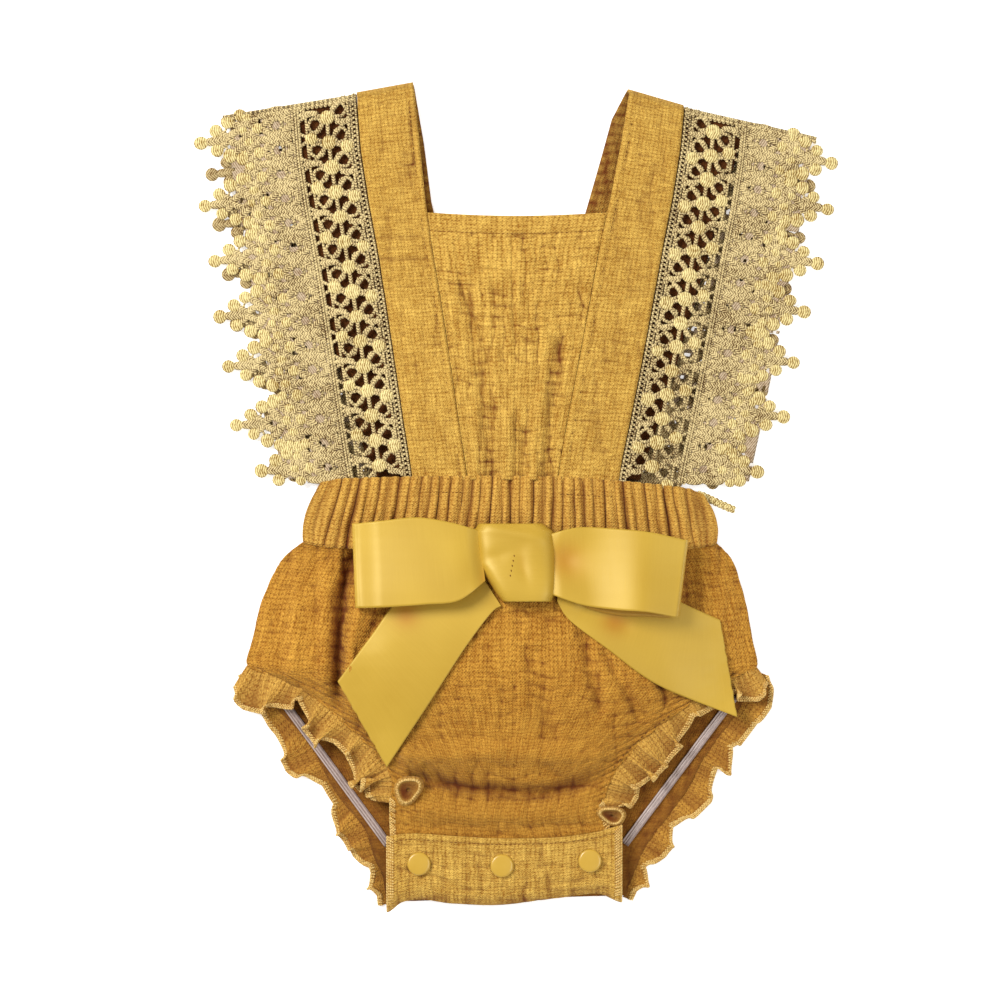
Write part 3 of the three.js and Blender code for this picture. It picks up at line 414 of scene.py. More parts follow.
def satinMaterial(name, dark, light):
    material, start, shader = newMaterial(name, 0.4, Specular_IOR_Level=0.85,
                                          Specular_Tint=(1.0, 0.86, 0.44, 1.0))
    place = start.node("ShaderNodeUVMap", {"uv_map": "weave"})
    streak = place.stretched(1.0, 30.0).grain(60.0, 3.0)
    fine = place.stretched(1.0, 6.0).grain(900.0)
    cloud = place.grain(26.0, 1.0)
    # painted shade: the paintedShade attribute turns the satin brown in the knot's pinch, under the loops and on the
    # tails
    paintedShade = start.node("ShaderNodeAttribute", {"attribute_name": "paintedShade"}, output=2)
    base = (0.5 + (streak - 0.5) * 0.3 + (fine - 0.5) * 0.2 + (cloud - 0.5) * 1.4).limited().between(dark, light)
    connect(start, shader, Base_Color=paintedShade.limited().between(base, colour(172, 104, 18)))
    connect(start, shader, Roughness=0.38 + streak * 0.12)
    relief = start.node("ShaderNodeBump", None, {"Height": fine + streak * 0.4, "Strength": 0.1,
                                                 "Distance": 0.15 * mm})
    connect(start, shader, Normal=relief)
    return material


def threadMaterial(name, groove, light, pitch=1.25, slope=0.9, bump=0.9):
    # threads laid slantwise on both sides of a middle line, with dark pricks between them
    material, start, shader = newMaterial(name, 0.8, Sheen_Weight=0.04, Specular_IOR_Level=0.15)
    place = start.node("ShaderNodeUVMap", {"uv_map": "weave"})
    turn = 2 * pi / (pitch * mm)
    wave = ((place.part(0) + place.part(1).size() * slope) * turn).sine()
    where = start.node("ShaderNodeTexCoord", output=3)
    prick = where.grain(760.0, 2.0)
    patch = where.grain(70.0, 2.0)
    tone = (0.6 + wave * 0.42 + (prick - 0.5) * 1.9 + (patch - 0.5) * 0.9).limited()
    connect(start, shader, Base_Color=tone.between(groove, light))
    relief = start.node("ShaderNodeBump", None, {"Height": wave * 0.5 + prick, "Strength": bump,
                                                 "Distance": 0.3 * mm})
    connect(start, shader, Normal=relief)
    return material


def plasticMaterial(name, base, worn):
    material, start, shader = newMaterial(name, 0.3, Coat_Weight=0.25, Coat_Roughness=0.15)
    where = start.node("ShaderNodeTexCoord", output=3)
    cloud = where.grain(180.0, 3.0)
    connect(start, shader, Base_Color=(0.4 + (cloud - 0.5) * 0.8).limited().between(base, worn))
    connect(start, shader, Roughness=0.26 + cloud * 0.12)
    relief = start.node("ShaderNodeBump", None, {"Height": where.grain(900.0), "Strength": 0.06,
                                                 "Distance": 0.1 * mm})
    connect(start, shader, Normal=relief)
    return material


def elasticMaterial(name, dark, light):
    material, start, shader = newMaterial(name, 0.35, Specular_IOR_Level=0.6)
    place = start.node("ShaderNodeUVMap", {"uv_map": "weave"})
    ribs = (place.part(0) * (2 * pi / (1.2 * mm))).sine()
    bars = ((place.part(1) + place.part(0)) * (2 * pi / (0.8 * mm))).sine()
    speck = place.stretched(2.0, 0.6).grain(800.0)
    tone = (0.5 + ribs * 0.34 + bars * 0.1 + (speck - 0.5) * 0.7).limited()
    connect(start, shader, Base_Color=tone.between(dark, light))
    relief = start.node("ShaderNodeBump", None, {"Height": ribs + speck, "Strength": 0.5,
                                                 "Distance": 0.2 * mm})
    connect(start, shader, Normal=relief)
    return material


# the brown painted into folds, hollows and lower layers as shade
paintedShadeColour = colour(108, 54, 18)
bodyCloth = clothMaterial("mustard gauze", colour(140, 84, 20), colour(214, 158, 62), paintedShadeColour, rows=0.35)
waistCloth = clothMaterial("waistband gauze", colour(152, 98, 30), colour(228, 180, 84), paintedShadeColour, rows=0.2)
bibCloth = clothMaterial("bib gauze", colour(150, 100, 30), colour(232, 188, 90), paintedShadeColour, rows=0.45, columns=0.5)
strapCloth = clothMaterial("strap gauze", colour(152, 102, 30), colour(232, 188, 90), paintedShadeColour, pitch=1.2, rows=0.5,
                           columns=0.25)
frillCloth = clothMaterial("frill gauze", colour(146, 94, 30), colour(226, 178, 84), paintedShadeColour, pitch=1.2, rows=0.2)
# the frill gauze in darker colours: painted shade for the back frills, which lie underneath
shadedBackFrillCloth = clothMaterial("back frill gauze in painted shade", colour(134, 82, 26), colour(212, 158, 66), paintedShadeColour, rows=0.2)
# the same gauze in darker colours: painted shade for the back panel and the waistband's back layer, which lie
# underneath
shadedInsideCloth = clothMaterial("gauze in painted shade", colour(134, 80, 24), colour(182, 124, 46), paintedShadeColour)
# dark brown standing for the shade seen through the lace's holes
liningShadeCloth = clothMaterial("lining in painted shade", colour(70, 35, 12), colour(122, 70, 28), colour(40, 18, 6), pitch=1.0)
bowSatin = satinMaterial("bow satin", colour(174, 136, 38), colour(200, 163, 58))
laceThread = threadMaterial("lace thread", colour(92, 60, 22), colour(236, 212, 152))
studThread = threadMaterial("lace stud thread", colour(138, 100, 36), colour(246, 226, 158), pitch=1.05, slope=0.3)
# the lace thread in darker colours: painted shade of the lower lace layer
shadedBackThread = threadMaterial("lace thread below in painted shade", colour(104, 70, 28), colour(206, 182, 128))
groundThread = threadMaterial("lace ground thread", colour(136, 106, 74), colour(208, 186, 154), pitch=1.1, slope=0.5)
sewingThread = threadMaterial("sewing thread", colour(190, 136, 56), colour(246, 210, 130), pitch=0.9)
darkThread = threadMaterial("stitch line thread", colour(96, 52, 16), colour(152, 98, 36), pitch=0.6)
capPlastic = plasticMaterial("snap plastic", colour(190, 148, 44), colour(204, 164, 60))
clearElastic = elasticMaterial("clear elastic", colour(116, 92, 84), colour(196, 176, 166))
print("materials made")


# Bloomers: front over back, creased where the photo shows it

bloomers = {
    "front cut": (232.0, 160.0),
    "back cut": (232.0, 170.0),
    "folds": [
        ([(-108.1, -42.8), (-107.2, -86.0)], -1.5, 3.2),
        ([(-100.7, -28.0), (-102.6, -56.6), (-103.5, -84.0)], 2.5, 5.0),
        ([(-75.0, -27.0), (-79.4, -44.4), (-81.4, -70.4), (-81.4, -96.0)], -5.2, 3.6),
        ([(-70.7, -50.8), (-75.4, -65.8), (-76.0, -86.0)], 1.6, 2.2),
        ([(-86.5, -34.0), (-87.5, -60.0), (-87.0, -88.0)], 1.5, 3.4),
        ([(-60.7, -52.0), (-72.0, -72.0)], -1.2, 2.6),
        ([(-60.0, -62.0), (-56.0, -104.0)], -1.6, 6.0),
        ([(-42.0, -70.0), (-47.0, -104.0)], -0.9, 2.2),
        ([(31.3, -64.0), (39.1, -97.0)], -2.4, 3.2),
        ([(41.4, -72.7), (49.0, -86.0), (56.6, -102.0)], -2.0, 1.7),
        ([(47.4, -77.3), (60.5, -103.0)], -1.3, 1.4),
        ([(66.7, -84.5), (74.1, -101.0)], -2.4, 2.2),
        ([(80.5, -29.0), (79.6, -47.4)], -1.6, 4.0),
        ([(84.0, -40.0), (88.0, -78.0)], -1.4, 5.0),
        ([(95.2, -42.8), (98.0, -70.4)], 1.6, 4.5),
        ([(105.0, -56.6), (104.3, -76.0)], -1.0, 1.8),
        ([(8.0, -74.0), (16.0, -108.0)], -1.4, 5.0),
        ([(-14.7, -56.1), (0.0, -53.4), (18.4, -55.7)], -0.8, 1.0),
        ([(-50.0, -120.0), (-6.0, -117.5), (38.0, -120.0)], 2.2, 5.0),
        ([(-46.0, -129.5), (-20.7, -134.5), (11.5, -136.5), (40.0, -130.5)], -3.6, 3.6),
        ([(-46.0, -145.0), (-6.0, -147.0), (32.0, -145.0)], 1.2, 4.0),
        ([(-40.0, -124.0), (-30.0, -132.0)], -1.0, 2.0),
        ([(14.0, -124.0), (24.0, -131.0)], -1.0, 2.0),
    ],
    "waist gathers": 1.7,
    "leg gathers": 2.8,
    "thick": 0.9,
}


def frontPlace(u, v):
    row = v * (len(frontLines) - 1)
    x, y = panelPoint(frontLines, row, u)
    free = clamp(6 * min(u, 1 - u))
    folds = 1.5 * free * foldRise(bloomers["folds"], x, y)
    below = max(lookup(bandBottom, x, 1) - y, 0)
    gather = bloomers["waist gathers"] * exp(-below / 20) * clamp(below / 2.5) * (gathered(x, 4.9, 2.0) - 0.6)
    inside = min(u, 1 - u) * 200
    atLeg = ease((row - 4.4) / 1.2) * (1 - ease((row - 12) / 1.5))
    gather += (bloomers["leg gathers"] * atLeg * exp(-inside / 13) * clamp(inside / 1.5)
               * (gathered(1.6 * y - x * (0.8 if u > 0.5 else -0.8), 4.4, 5.0) - 0.62))
    puff = crinkle(x, y, 1.0)
    z = frontHeight(x, y) + folds + gather + puff * clamp(below / 3)
    # painted shade in the folds, the gathers and the crinkle's hollows
    return x, y, z, -0.15 * folds - 0.42 * gather - 1.2 * puff - 0.1


def backPlace(u, v):
    x, y = panelPoint(backLines, v * (len(backLines) - 1.16), (1 - cos(pi * u)) / 2)
    puff = crinkle(x, y, 4.0)
    # painted shade over the whole back panel, more in the crinkle's hollows
    return x, y, 0.72 + 0.5 * puff, 0.25 - 0.8 * puff


bloomersFront = finishPiece("bloomers_front", newSheet(250, 176, bloomers["front cut"], frontPlace), bodyCloth,
                            ["front_panel"], bloomers["thick"])
bloomersBack = finishPiece("bloomers_back", newSheet(120, 100, bloomers["back cut"], backPlace), shadedInsideCloth,
                           ["back_panel"], 0.9)
print("bloomers made")


# Waistband: elastic in a casing, in uneven pleats

waist = {"pleats": 38, "rise": 1.7, "round": 3.0, "cover": 1.0, "cut": (192.0, 32.0), "lean": 0.010, "thick": 1.1}


def pleat(j):
    fade = clamp(min(j, 2 * waist["pleats"] - j) / 4)
    return (1 if j % 2 else -1) * (0.68 + 0.32 * sin(1.7 * j)) * fade


pleatStops = [(j / (2 * waist["pleats"]) + 0.33 * sin(2.3 * j) * clamp(min(j, 2 * waist["pleats"] - j))
               / (2 * waist["pleats"]), pleat(j)) for j in range(2 * waist["pleats"] + 1)]


def pleatAt(u):
    last = 2 * waist["pleats"]
    j = int(clamp(int(u * last) + 1, 1, last))
    while j < last and pleatStops[j][0] < u:
        j += 1
    while j > 1 and pleatStops[j - 1][0] > u:
        j -= 1
    (a, low), (b, high) = pleatStops[j - 1], pleatStops[j]
    height = mix(low, high, ease((u - a) / (b - a)))
    return (2 * clamp((height + 1) / 2, 0.001) ** 0.55 - 1) * (0.85 + 0.5 * noise.noise((u * 14, 2.0, 0.0)))


def bandSpot(u, v):
    spots = []
    for table in (bandTop, bandBottom):
        x = mix(table[0][0], table[-1][0], u)
        spots.append((x, lookup(table, x, 1)))
    round = waist["round"] * sin(pi * v) ** 0.7 * ((1 - ease(u / 0.05)) - ease((u - 0.95) / 0.05))
    return mix(spots[0][0], spots[1][0], v) - round, mix(spots[0][1], spots[1][1], v)


def bandPlace(u, v):
    x, y = bandSpot(u, v)
    lean = waist["lean"] * noise.noise((u * 9, 0.0, 3.0)) * (v - 0.5) * 2
    bend = 0.0035 * noise.noise((u * 30, v * 2.2, 8.0))
    ridge = pleatAt(clamp(u + (lean + bend) * clamp(20 * min(u, 1 - u))))
    small = noise.noise((u * 120, v * 1.6, 1.0)) + 0.5 * noise.noise((u * 260, v * 3.0, 6.0))
    hem = clamp((v - 0.02) / 0.1)
    z = frontHeight(x, y) + waist["rise"] * (0.62 + 0.38 * sin(pi * v)) * ridge + 0.28 * small
    y += 0.35 * ridge * (1 - hem) + waist["cover"] * (clamp(1 - v / 0.12) - clamp((v - 0.9) / 0.1))
    # painted shade over the band, deeper in the pleats' folds
    return x, y, z, 0.5 - 1.0 * ridge - 0.35 * small


def bandBackPlace(u, v):
    x, y = bandSpot(u, v)
    # painted shade between the pleats of the back layer
    return x, y, 1.1 + 0.3 * pleatAt(u), 0.3 - 0.3 * pleatAt(u)


waistFront = finishPiece("waistband_front_cloth", newSheet(560, 26, waist["cut"], bandPlace), waistCloth,
                         ["waistband_front"], waist["thick"])
waistBack = finishPiece("waistband_back_cloth", newSheet(260, 10, waist["cut"], bandBackPlace), shadedInsideCloth,
                        ["waistband_back"], 1.2)
print("waistband made")


# Bib between the straps, hemmed at the neck and gathered at the waist

bib = {
    "top": 131.0, "bottom": 9.1, "cut": (66.0, 124.0), "thick": 1.0,
    "folds": [
        ([(-24.0, 96.0), (-15.0, 62.0)], -0.7, 4.0),
        ([(-15.0, 56.0), (-11.0, 9.0)], -1.2, 3.2),
        ([(-19.0, 40.0), (-18.0, 9.0)], 1.0, 2.5),
        ([(-3.0, 38.0), (-4.0, 9.0)], 1.1, 2.5),
        ([(4.0, 30.0), (3.0, 9.0)], -1.1, 2.2),
        ([(12.0, 48.0), (9.0, 9.0)], 1.2, 2.8),
        ([(20.0, 70.0), (15.0, 9.0)], -1.3, 3.0),
        ([(-27.6, 118.0), (-24.4, 95.0), (-16.1, 76.8), (-11.5, 58.4), (-10.6, 38.0)], -0.7, 0.9),
        ([(-29.0, 111.0), (-20.0, 80.0), (-17.5, 54.0)], -0.5, 0.8),
        ([(-12.4, 113.6), (-9.2, 90.6)], -0.45, 0.8),
        ([(-1.4, 118.2), (-0.9, 81.4), (0.0, 69.9)], -0.5, 0.9),
        ([(5.5, 99.8), (6.9, 84.0)], -0.4, 0.8),
        ([(11.5, 90.6), (10.6, 64.0)], -0.4, 0.8),
        ([(-20.7, 105.3), (0.0, 104.3), (20.7, 108.1)], -0.4, 0.9),
        ([(-16.1, 95.2), (6.0, 94.6), (27.6, 97.1)], -0.4, 0.9),
        ([(-11.5, 80.5), (9.0, 80.9), (27.9, 83.3)], -0.45, 1.0),
        ([(-6.9, 72.2), (13.8, 69.9)], -0.5, 1.0),
        ([(-6.9, 65.3), (10.0, 64.2), (26.9, 67.6)], -0.5, 1.0),
        ([(20.7, 69.9), (25.6, 56.1)], -0.8, 2.0),
    ],
}


def bibSpot(u, v):
    y = mix(bib["top"], bib["bottom"], v)
    x = mix(lookup(leftStrapFront, y, 2, key=3) + seamGap, lookup(rightStrapFront, y, 2, key=3) - seamGap, u)
    return x, toBand(x, y - 1.6 * sin(pi * u) * (1 - v))


def bibPlace(u, v):
    x, y = bibSpot(u, v)
    free = clamp(5 * min(u, 1 - u))
    folds = 1.5 * free * foldRise(bib["folds"], x, y)
    down = v * 122
    hem = 0.35 * (1 - ease((down - 7.2) / 1.2)) - 0.35 * exp(-((down - 8.4) / 0.7) ** 2)
    above = 122 - down
    gather = 0.9 * exp(-above / 22) * clamp(above / 2) * free * (gathered(x * (1 + 0.004 * above), 3.4, 6.0) - 0.6)
    puff = crinkle(x * (1 + 0.0012 * above), y, 12.0, across=5.6, down=5.2) * ease((down - 7.0) / 2)
    # painted shade in the folds, the gathers, the crinkle's hollows and the hem's groove
    depth = -0.26 * folds - 0.5 * gather - 1.25 * puff - 0.1 + 0.5 * exp(-((down - 8.4) / 0.6) ** 2)
    return x, y, torsoHeight(x, y) + folds + hem + gather + puff, depth


bibPiece = finishPiece("bib_cloth", newSheet(100, 150, bib["cut"], bibPlace), bibCloth, ["bib"], bib["thick"])
print("bib made")


# Straps: up the front, over the shoulder and down the back

straps = {
    "thick": 1.2, "low": 0.7, "cut": (28.0, 366.0), "rows": (150, 16, 110), "welt": 0.9,
    "left creases": [([(-59.8, 120.4), (-51.0, 119.6), (-43.7, 120.1)], -0.5, 0.9),
                     ([(-61.6, 109.8), (-52.0, 109.0), (-40.4, 109.6)], -0.5, 0.9),
                     ([(-47.0, 178.0), (-52.0, 140.0)], -0.3, 3.0)],
    "right creases": [([(66.0, 152.0), (58.0, 136.0)], -0.4, 1.6), ([(50.0, 96.0), (66.0, 93.0)], -0.3, 1.2),
                      ([(36.0, 60.0), (40.0, 20.0)], -0.4, 1.6)],
}


def rowPoint(table, row, u):
    i = int(clamp(int(row), 0, len(table) - 2))
    a, b, t = table[i], table[i + 1], row - i
    outerX, outerY, innerX, innerY = (mix(a[k], b[k], t) for k in range(4))
    return mix(outerX, innerX, u), mix(outerY, innerY, u)


def makeStrap(name, node, front, back, creases, seed):
    frontRows, turnRows, backRows = straps["rows"]
    total = frontRows + turnRows + backRows
    (outerX, outerY), (innerX, innerY) = rowPoint(front, 0, 0), rowPoint(front, 0, 1)
    outward = Vector((outerY - innerY, innerX - outerX)).normalized()
    if outward.y < 0:
        outward.negate()

    def place(u, v):
        row = v * total
        welt = 0.28 * ease((u - straps["welt"]) / 0.02) - 0.3 * exp(-((u - straps["welt"] + 0.012) / 0.014) ** 2)
        # painted shade in the welt's groove
        crease = 0.45 * exp(-((u - straps["welt"] + 0.012) / 0.014) ** 2)
        if row <= frontRows:
            x, y = rowPoint(front, (1 - row / frontRows) * (len(front) - 1), u)
            y = toBand(x, y)
            folds = foldRise(creases, x, y)
            puff = crinkle(x, y, seed, across=5.2, down=4.4) * 0.6 * ease((0.93 - u) / 0.05) * ease(u / 0.06)
            edge = 0.3 * ease(1 - u / 0.03) + 0.25 * ease((u - 0.975) / 0.025)
            return x, y, torsoHeight(x, y) + welt + folds + puff - edge, crease - 0.8 * folds - 1.3 * puff
        if row <= frontRows + turnRows:
            t = (row - frontRows) / turnRows
            sx, sy = rowPoint(front, 0, u)
            ex, ey = rowPoint(back, 0, u)
            high = torsoHeight(sx, sy)
            radius = (high - straps["low"]) / 2
            x = mix(sx, ex, t) + outward.x * radius * sin(pi * t)
            y = mix(sy, ey, t) + outward.y * radius * sin(pi * t)
            # painted shade growing round the turn towards the back run
            return x, y, straps["low"] + radius + radius * cos(pi * t) + welt * (1 - t), 0.1 + 0.6 * ease((t - 0.4) * 2)
        t = (row - frontRows - turnRows) / backRows
        x, y = rowPoint(back, t * (len(back) - 1), u)
        puff = crinkle(x, y, seed + 20, across=5.2, down=4.4)
        # painted shade over the back run, which lies underneath, and in its crinkle's hollows
        return x, y, straps["low"] + 0.08 + 0.3 * max(puff, -0.2), 0.62 - 0.9 * puff

    piece = finishPiece(name, newSheet(24, total, straps["cut"], place), strapCloth, [node], straps["thick"])
    return piece


makeStrap("strap_left_cloth", "strap_left", leftStrapFront, leftStrapBack, straps["left creases"], 31.0)
makeStrap("strap_right_cloth", "strap_right", rightStrapFront, rightStrapBack, straps["right creases"], 47.0)
print("straps made")


# Lace sleeves, worked in thread: studs, leaves and twisted bars round open holes

lace = {
    "long": 176.0, "repeats": 15, "thick": 1.0, "lining": 34.0, "lining cut": (33.4, 166.0),
    "bar": 0.95, "stud": 3.3, "header": (0.8, 3.0), "rowLine": (27.6, 30.2),
}
leftLaceFront = [(0.05, 76.5), (0.225, 78), (0.38, 78), (0.535, 80), (0.675, 79.5), (0.84, 80), (0.97, 72)]
leftLaceBack = [(0.14, 74), (0.28, 75), (0.42, 76), (0.56, 78), (0.7, 80), (0.84, 82), (0.96, 80)]
rightLaceFront = [(0.05, 73.5), (0.185, 74.5), (0.345, 74.5), (0.49, 72.5), (0.64, 72), (0.8, 72.5), (0.965, 66)]
rightLaceBack = [(0.12, 73), (0.27, 75), (0.42, 76), (0.57, 77), (0.72, 79), (0.86, 80), (0.97, 78)]


def laceSpot(strap, side, topDrop, lowDrop):
    top, low = strap[0][1] - 1.2, strap[-1][1]

    def spot(at, out):
        y = mix(top, low, at)
        drop = mix(topDrop, lowDrop, at)
        x = lookup(strap, y, 0, key=1) + side * (seamGap + 0.1 + out * cos(drop))
        return x, y - out * sin(drop)
    return spot


def makeLace(name, node, strap, side, drops, lobes, thread, sink, seed):
    dice = random.Random(seed)
    made = bmesh.new()
    spot = laceSpot(strap, side, *drops)
    long, repeats = lace["long"], lace["repeats"]
    pitch = long / repeats

    def place(down, out, lift=0.0):
        x, y = spot(clamp(down / long, -0.02, 1.03 if out < 28 else 1.012), out)
        z = 0.55
        if sink:
            edge = lookup(strap, y, 0, key=1)
            high = torsoHeight(edge, y) - lace["thick"] / 2
            z = mix(high, lace["thick"] + 0.5, clamp(side * (x - edge) / 72)) + 0.5
        return Vector((x, y, z + lift))

    def inside(down, out=30.0):
        # the open band runs on to the waistband
        return -2.4 < down < long + (3.8 if sink and out < 28 else 0.4)

    def stud(down, out, size=lace["stud"], lift=0.0):
        if inside(down, out):
            wide = 2 * size * dice.uniform(0.94, 1.05)
            reach = place(down, out + 0.5) - place(down, out - 0.5)
            setPattern(made, ballShape, place(down, out, lift), reach, wide, wide * dice.uniform(0.92, 1.05), 1.5)

    def leaf(down, out, toDown, toOut, wide, lift=0.0):
        if inside(down, out) and inside(toDown, toOut):
            a, b = place(down, out, lift), place(toDown, toOut, lift)
            setPattern(made, leafShape, (a + b) / 2, b - a, (b - a).length, wide, 1.2)

    def bar(down, out, toDown, toOut, radius=lace["bar"], lift=0.0):
        end = long + (5.2 if sink and max(out, toOut) < 28 else 2.2)
        if -3.6 < down < end and -3.6 < toDown < end:
            addBar(made, place(down, out, lift), place(toDown, toOut, lift), radius, flatten=0.62)

    def ring(down, out, size, radius):
        if not inside(down - size, out) or not inside(down + size * 0.6, out):
            return
        tilt = dice.uniform(0, 1)
        corners = [(down + size * dice.uniform(0.9, 1.1) * sin(tilt + k * pi / 3),
                    out + size * dice.uniform(0.9, 1.1) * cos(tilt + k * pi / 3)) for k in range(6)]
        for (a, b), (c, d) in zip(corners, corners[1:] + corners[:1]):
            bar(a, b, c, d, radius)

    # header beside the strap and the close row at the end of the open band
    for (inner, outer), step, radius in ((lace["header"], 2.1, 0.55), (lace["rowLine"], 1.25, 0.62)):
        for k in range(-2, int(long / step) + 4):
            down = (k + 0.5) * step
            bar(down, inner, down + step, inner, radius)
            bar(down, outer, down + step, outer, radius)
            bar(down + dice.uniform(-0.2, 0.2), inner, down + step * 0.45, outer, radius)
    # open band: a stud in each repeat, side studs in every other one, bars between
    for k in range(-1, repeats + 1):
        middle = (k + 0.5) * pitch
        nearOut, farOut = 6.1, 22.3
        near, far = (k + 0.75) * pitch, (k + 0.25) * pitch
        stud(middle, 14.3, 3.5, 0.35)
        if k % 2:
            stud(near, nearOut, 3.1, 0.3)
            stud(far, farOut, 3.1, 0.3)
        else:
            leaf(near, 2.4, near, 10.8, 3.0)
            leaf(far, 18.0, far, 27.8, 3.2)
        bar(middle, 14.3, middle + pitch, 14.3)
        for down, out in ((near, nearOut), (near - pitch, nearOut), (far, farOut), (far + pitch, farOut)):
            bar(middle, 14.3, down, out)
        for down, out in ((near, nearOut), (far, farOut)):
            wall = lace["header"][1] if out < 14 else lace["rowLine"][0]
            bar(down, out, down - 3.0, wall, 0.8)
            bar(down, out, down + 3.0, wall, 0.8)
        bar(near, nearOut - 1.6, near + pitch, nearOut - 1.6, 0.6)
        bar(far, farOut + 1.8, far + pitch, farOut + 1.8, 0.6)
        ring(far, 8.6, 3.5, 0.78)
        ring(near, 20.0, 3.5, 0.78)
    # close band: leaves and studs round one small hole in each repeat
    for k in range(-1, repeats + 1):
        middle, stem = (k + 0.5) * pitch, k * pitch
        leaf(stem, 29.6, stem, 39.8, 4.2)
        leaf(stem, 38.0, stem, 48.8, 3.8)
        for way in (-1, 1):
            leaf(middle, 30.2, middle + way * 4.1, 35.6, 3.6)
            leaf(middle + way * 4.0, 33.4, middle + way * 4.2, 42.8, 3.2)
            leaf(middle + way * 4.1, 40.4, middle, 45.2, 3.6)
            leaf(middle + way * 1.2, 47.6, middle + way * 4.4, 54.8, 3.5)
            leaf(stem + way * 0.6, 46.6, stem + way * 3.8, 51.8, 3.2)
        stud(middle, 46.8, 2.7)
        stud(stem, 51.4, 2.5)
        stud(middle, 53.6, 2.2)
        ring(middle, 38.0, 3.1, 0.8)
        bar(stem, 31.6, stem + pitch, 31.6, 0.5)
        bar(stem, 46.6, stem + pitch, 46.6, 0.5)
        bar(stem, 50.4, stem + pitch, 50.4, 0.5)
    # lobes of the edge, each a stem with studs on both sides and one at its tip
    for at, reach in lobes:
        middle = at * long
        for way in (-1, 1):
            leaf(middle, reach - 26.5, middle + way * 3.9, reach - 19.6, 3.6)
            leaf(middle + way * 3.9, reach - 21.4, middle, reach - 14.4, 3.6)
            leaf(middle + way * 0.4, reach - 17.0, middle + way * 4.4, reach - 11.0, 3.2)
            leaf(middle + way * 2.6, reach - 24.6, middle + way * 8.0, reach - 17.4, 3.6)
            leaf(middle + way * 5.0, reach - 27.2, middle + way * 10.4, reach - 22.6, 3.8)
            stud(middle + way * 4.8, reach - 10.4, 3.0)
            stud(middle + way * 8.3, reach - 16.2, 3.2)
            stud(middle + way * 10.6, reach - 22.0, 3.2)
            bar(middle, reach - 13.0, middle + way * 8.4, reach - 16.8, 0.55)
            bar(middle + way * 3.5, reach - 20.0, middle + way * 10.4, reach - 22.0, 0.55)
        leaf(middle, reach - 16.4, middle, reach - 3.6, 4.4)
        stud(middle, reach - 3.1, 3.2)
    # the cut edge at the shoulder, turned under and caught with close stitches
    for k in range(30):
        out = 1.0 + k * 2.05
        bar(-2.2, out, -2.2, out + 2.05, 0.75, 0.2)
        leaf(-2.3, out + 0.4, 0.8, out + 1.6, 1.9)
    piece = finishPiece(name, made, thread, [node])
    piece.data.materials.append(studThread if sink else shadedBackThread)
    "strap_left" if side < 0 else "strap_right"

    def groundPlace(u, v):
        spotHere = place(mix(1.0, long - 1.0, v), mix(30.0, 60.0, u), -0.25)
        return spotHere.x, spotHere.y, spotHere.z, 0.0

    ground = newSheet(20, 110, (30.0, long), groundPlace)
    dropped = [face for face in ground.faces
               if noise.noise(face.calc_center_median() * 300 + Vector((0, 0, seed))) > 0.3]
    bmesh.ops.delete(ground, geom=dropped, context="FACES")
    groundPiece = finishPiece(name + "_ground", ground, groundThread, [node], 0.35)
    return piece


# node, strap, side, drop at the shoulder and at the waist, lobes, thread, on top or not, seed
sleeves = [
    ("lace_left_back", leftStrapBack, -1, (0.155, 0.02), leftLaceBack, shadedBackThread, False, 3),
    ("lace_left_front", leftStrapFront, -1, (0.155, 0.03), leftLaceFront, laceThread, True, 4),
    ("lace_right_back", rightStrapBack, 1, (0.215, 0.05), rightLaceBack, shadedBackThread, False, 5),
    ("lace_right_front", rightStrapFront, 1, (0.215, 0.05), rightLaceFront, laceThread, True, 6),
]
for sleeveNode, *settings in sleeves:
    makeLace(sleeveNode + "_threads", sleeveNode, *settings)


# the right sleeve's lower corner, a braid that comes out beside the waistband
corner = bmesh.new()
for k in range(8):
    here = Vector((mix(86.0, 99.6, k / 7), mix(0.8, -5.4, k / 7), 1.4))
    for way in (-1, 1):
        setPattern(corner, leafShape, here, Vector((1.0, way * 0.8 - 0.45, 0)), 5.0, 2.7, 1.8)
finishPiece("lace_right_corner_threads", corner, studThread)


# a dark brown sheet behind the lace's open band: painted shade seen through the lace's holes
def makeLining(name, node, strap, side, drops):
    spot = laceSpot(strap, side, *drops)

    def place(u, v):
        x, y = spot(mix(-0.012, 1.0, v), mix(0.6, lace["lining"], u))
        return x, y, lace["thick"] + seamGap + 0.5 + 0.12 * noise.noise((x * 0.3, y * 0.3, 2.0)), 0.2
    piece = finishPiece(name, newSheet(24, 90, lace["lining cut"], place), liningShadeCloth, [node], 0.7)


makeLining("lining_left_cloth", "lace_lining_left", leftStrapBack, -1, (0.155, 0.02))
makeLining("lining_right_cloth", "lace_lining_right", rightStrapBack, 1, (0.215, 0.05))
print("lace made")


# Leg frills: gathered on the leg seam, the free edge in waves and overlocked

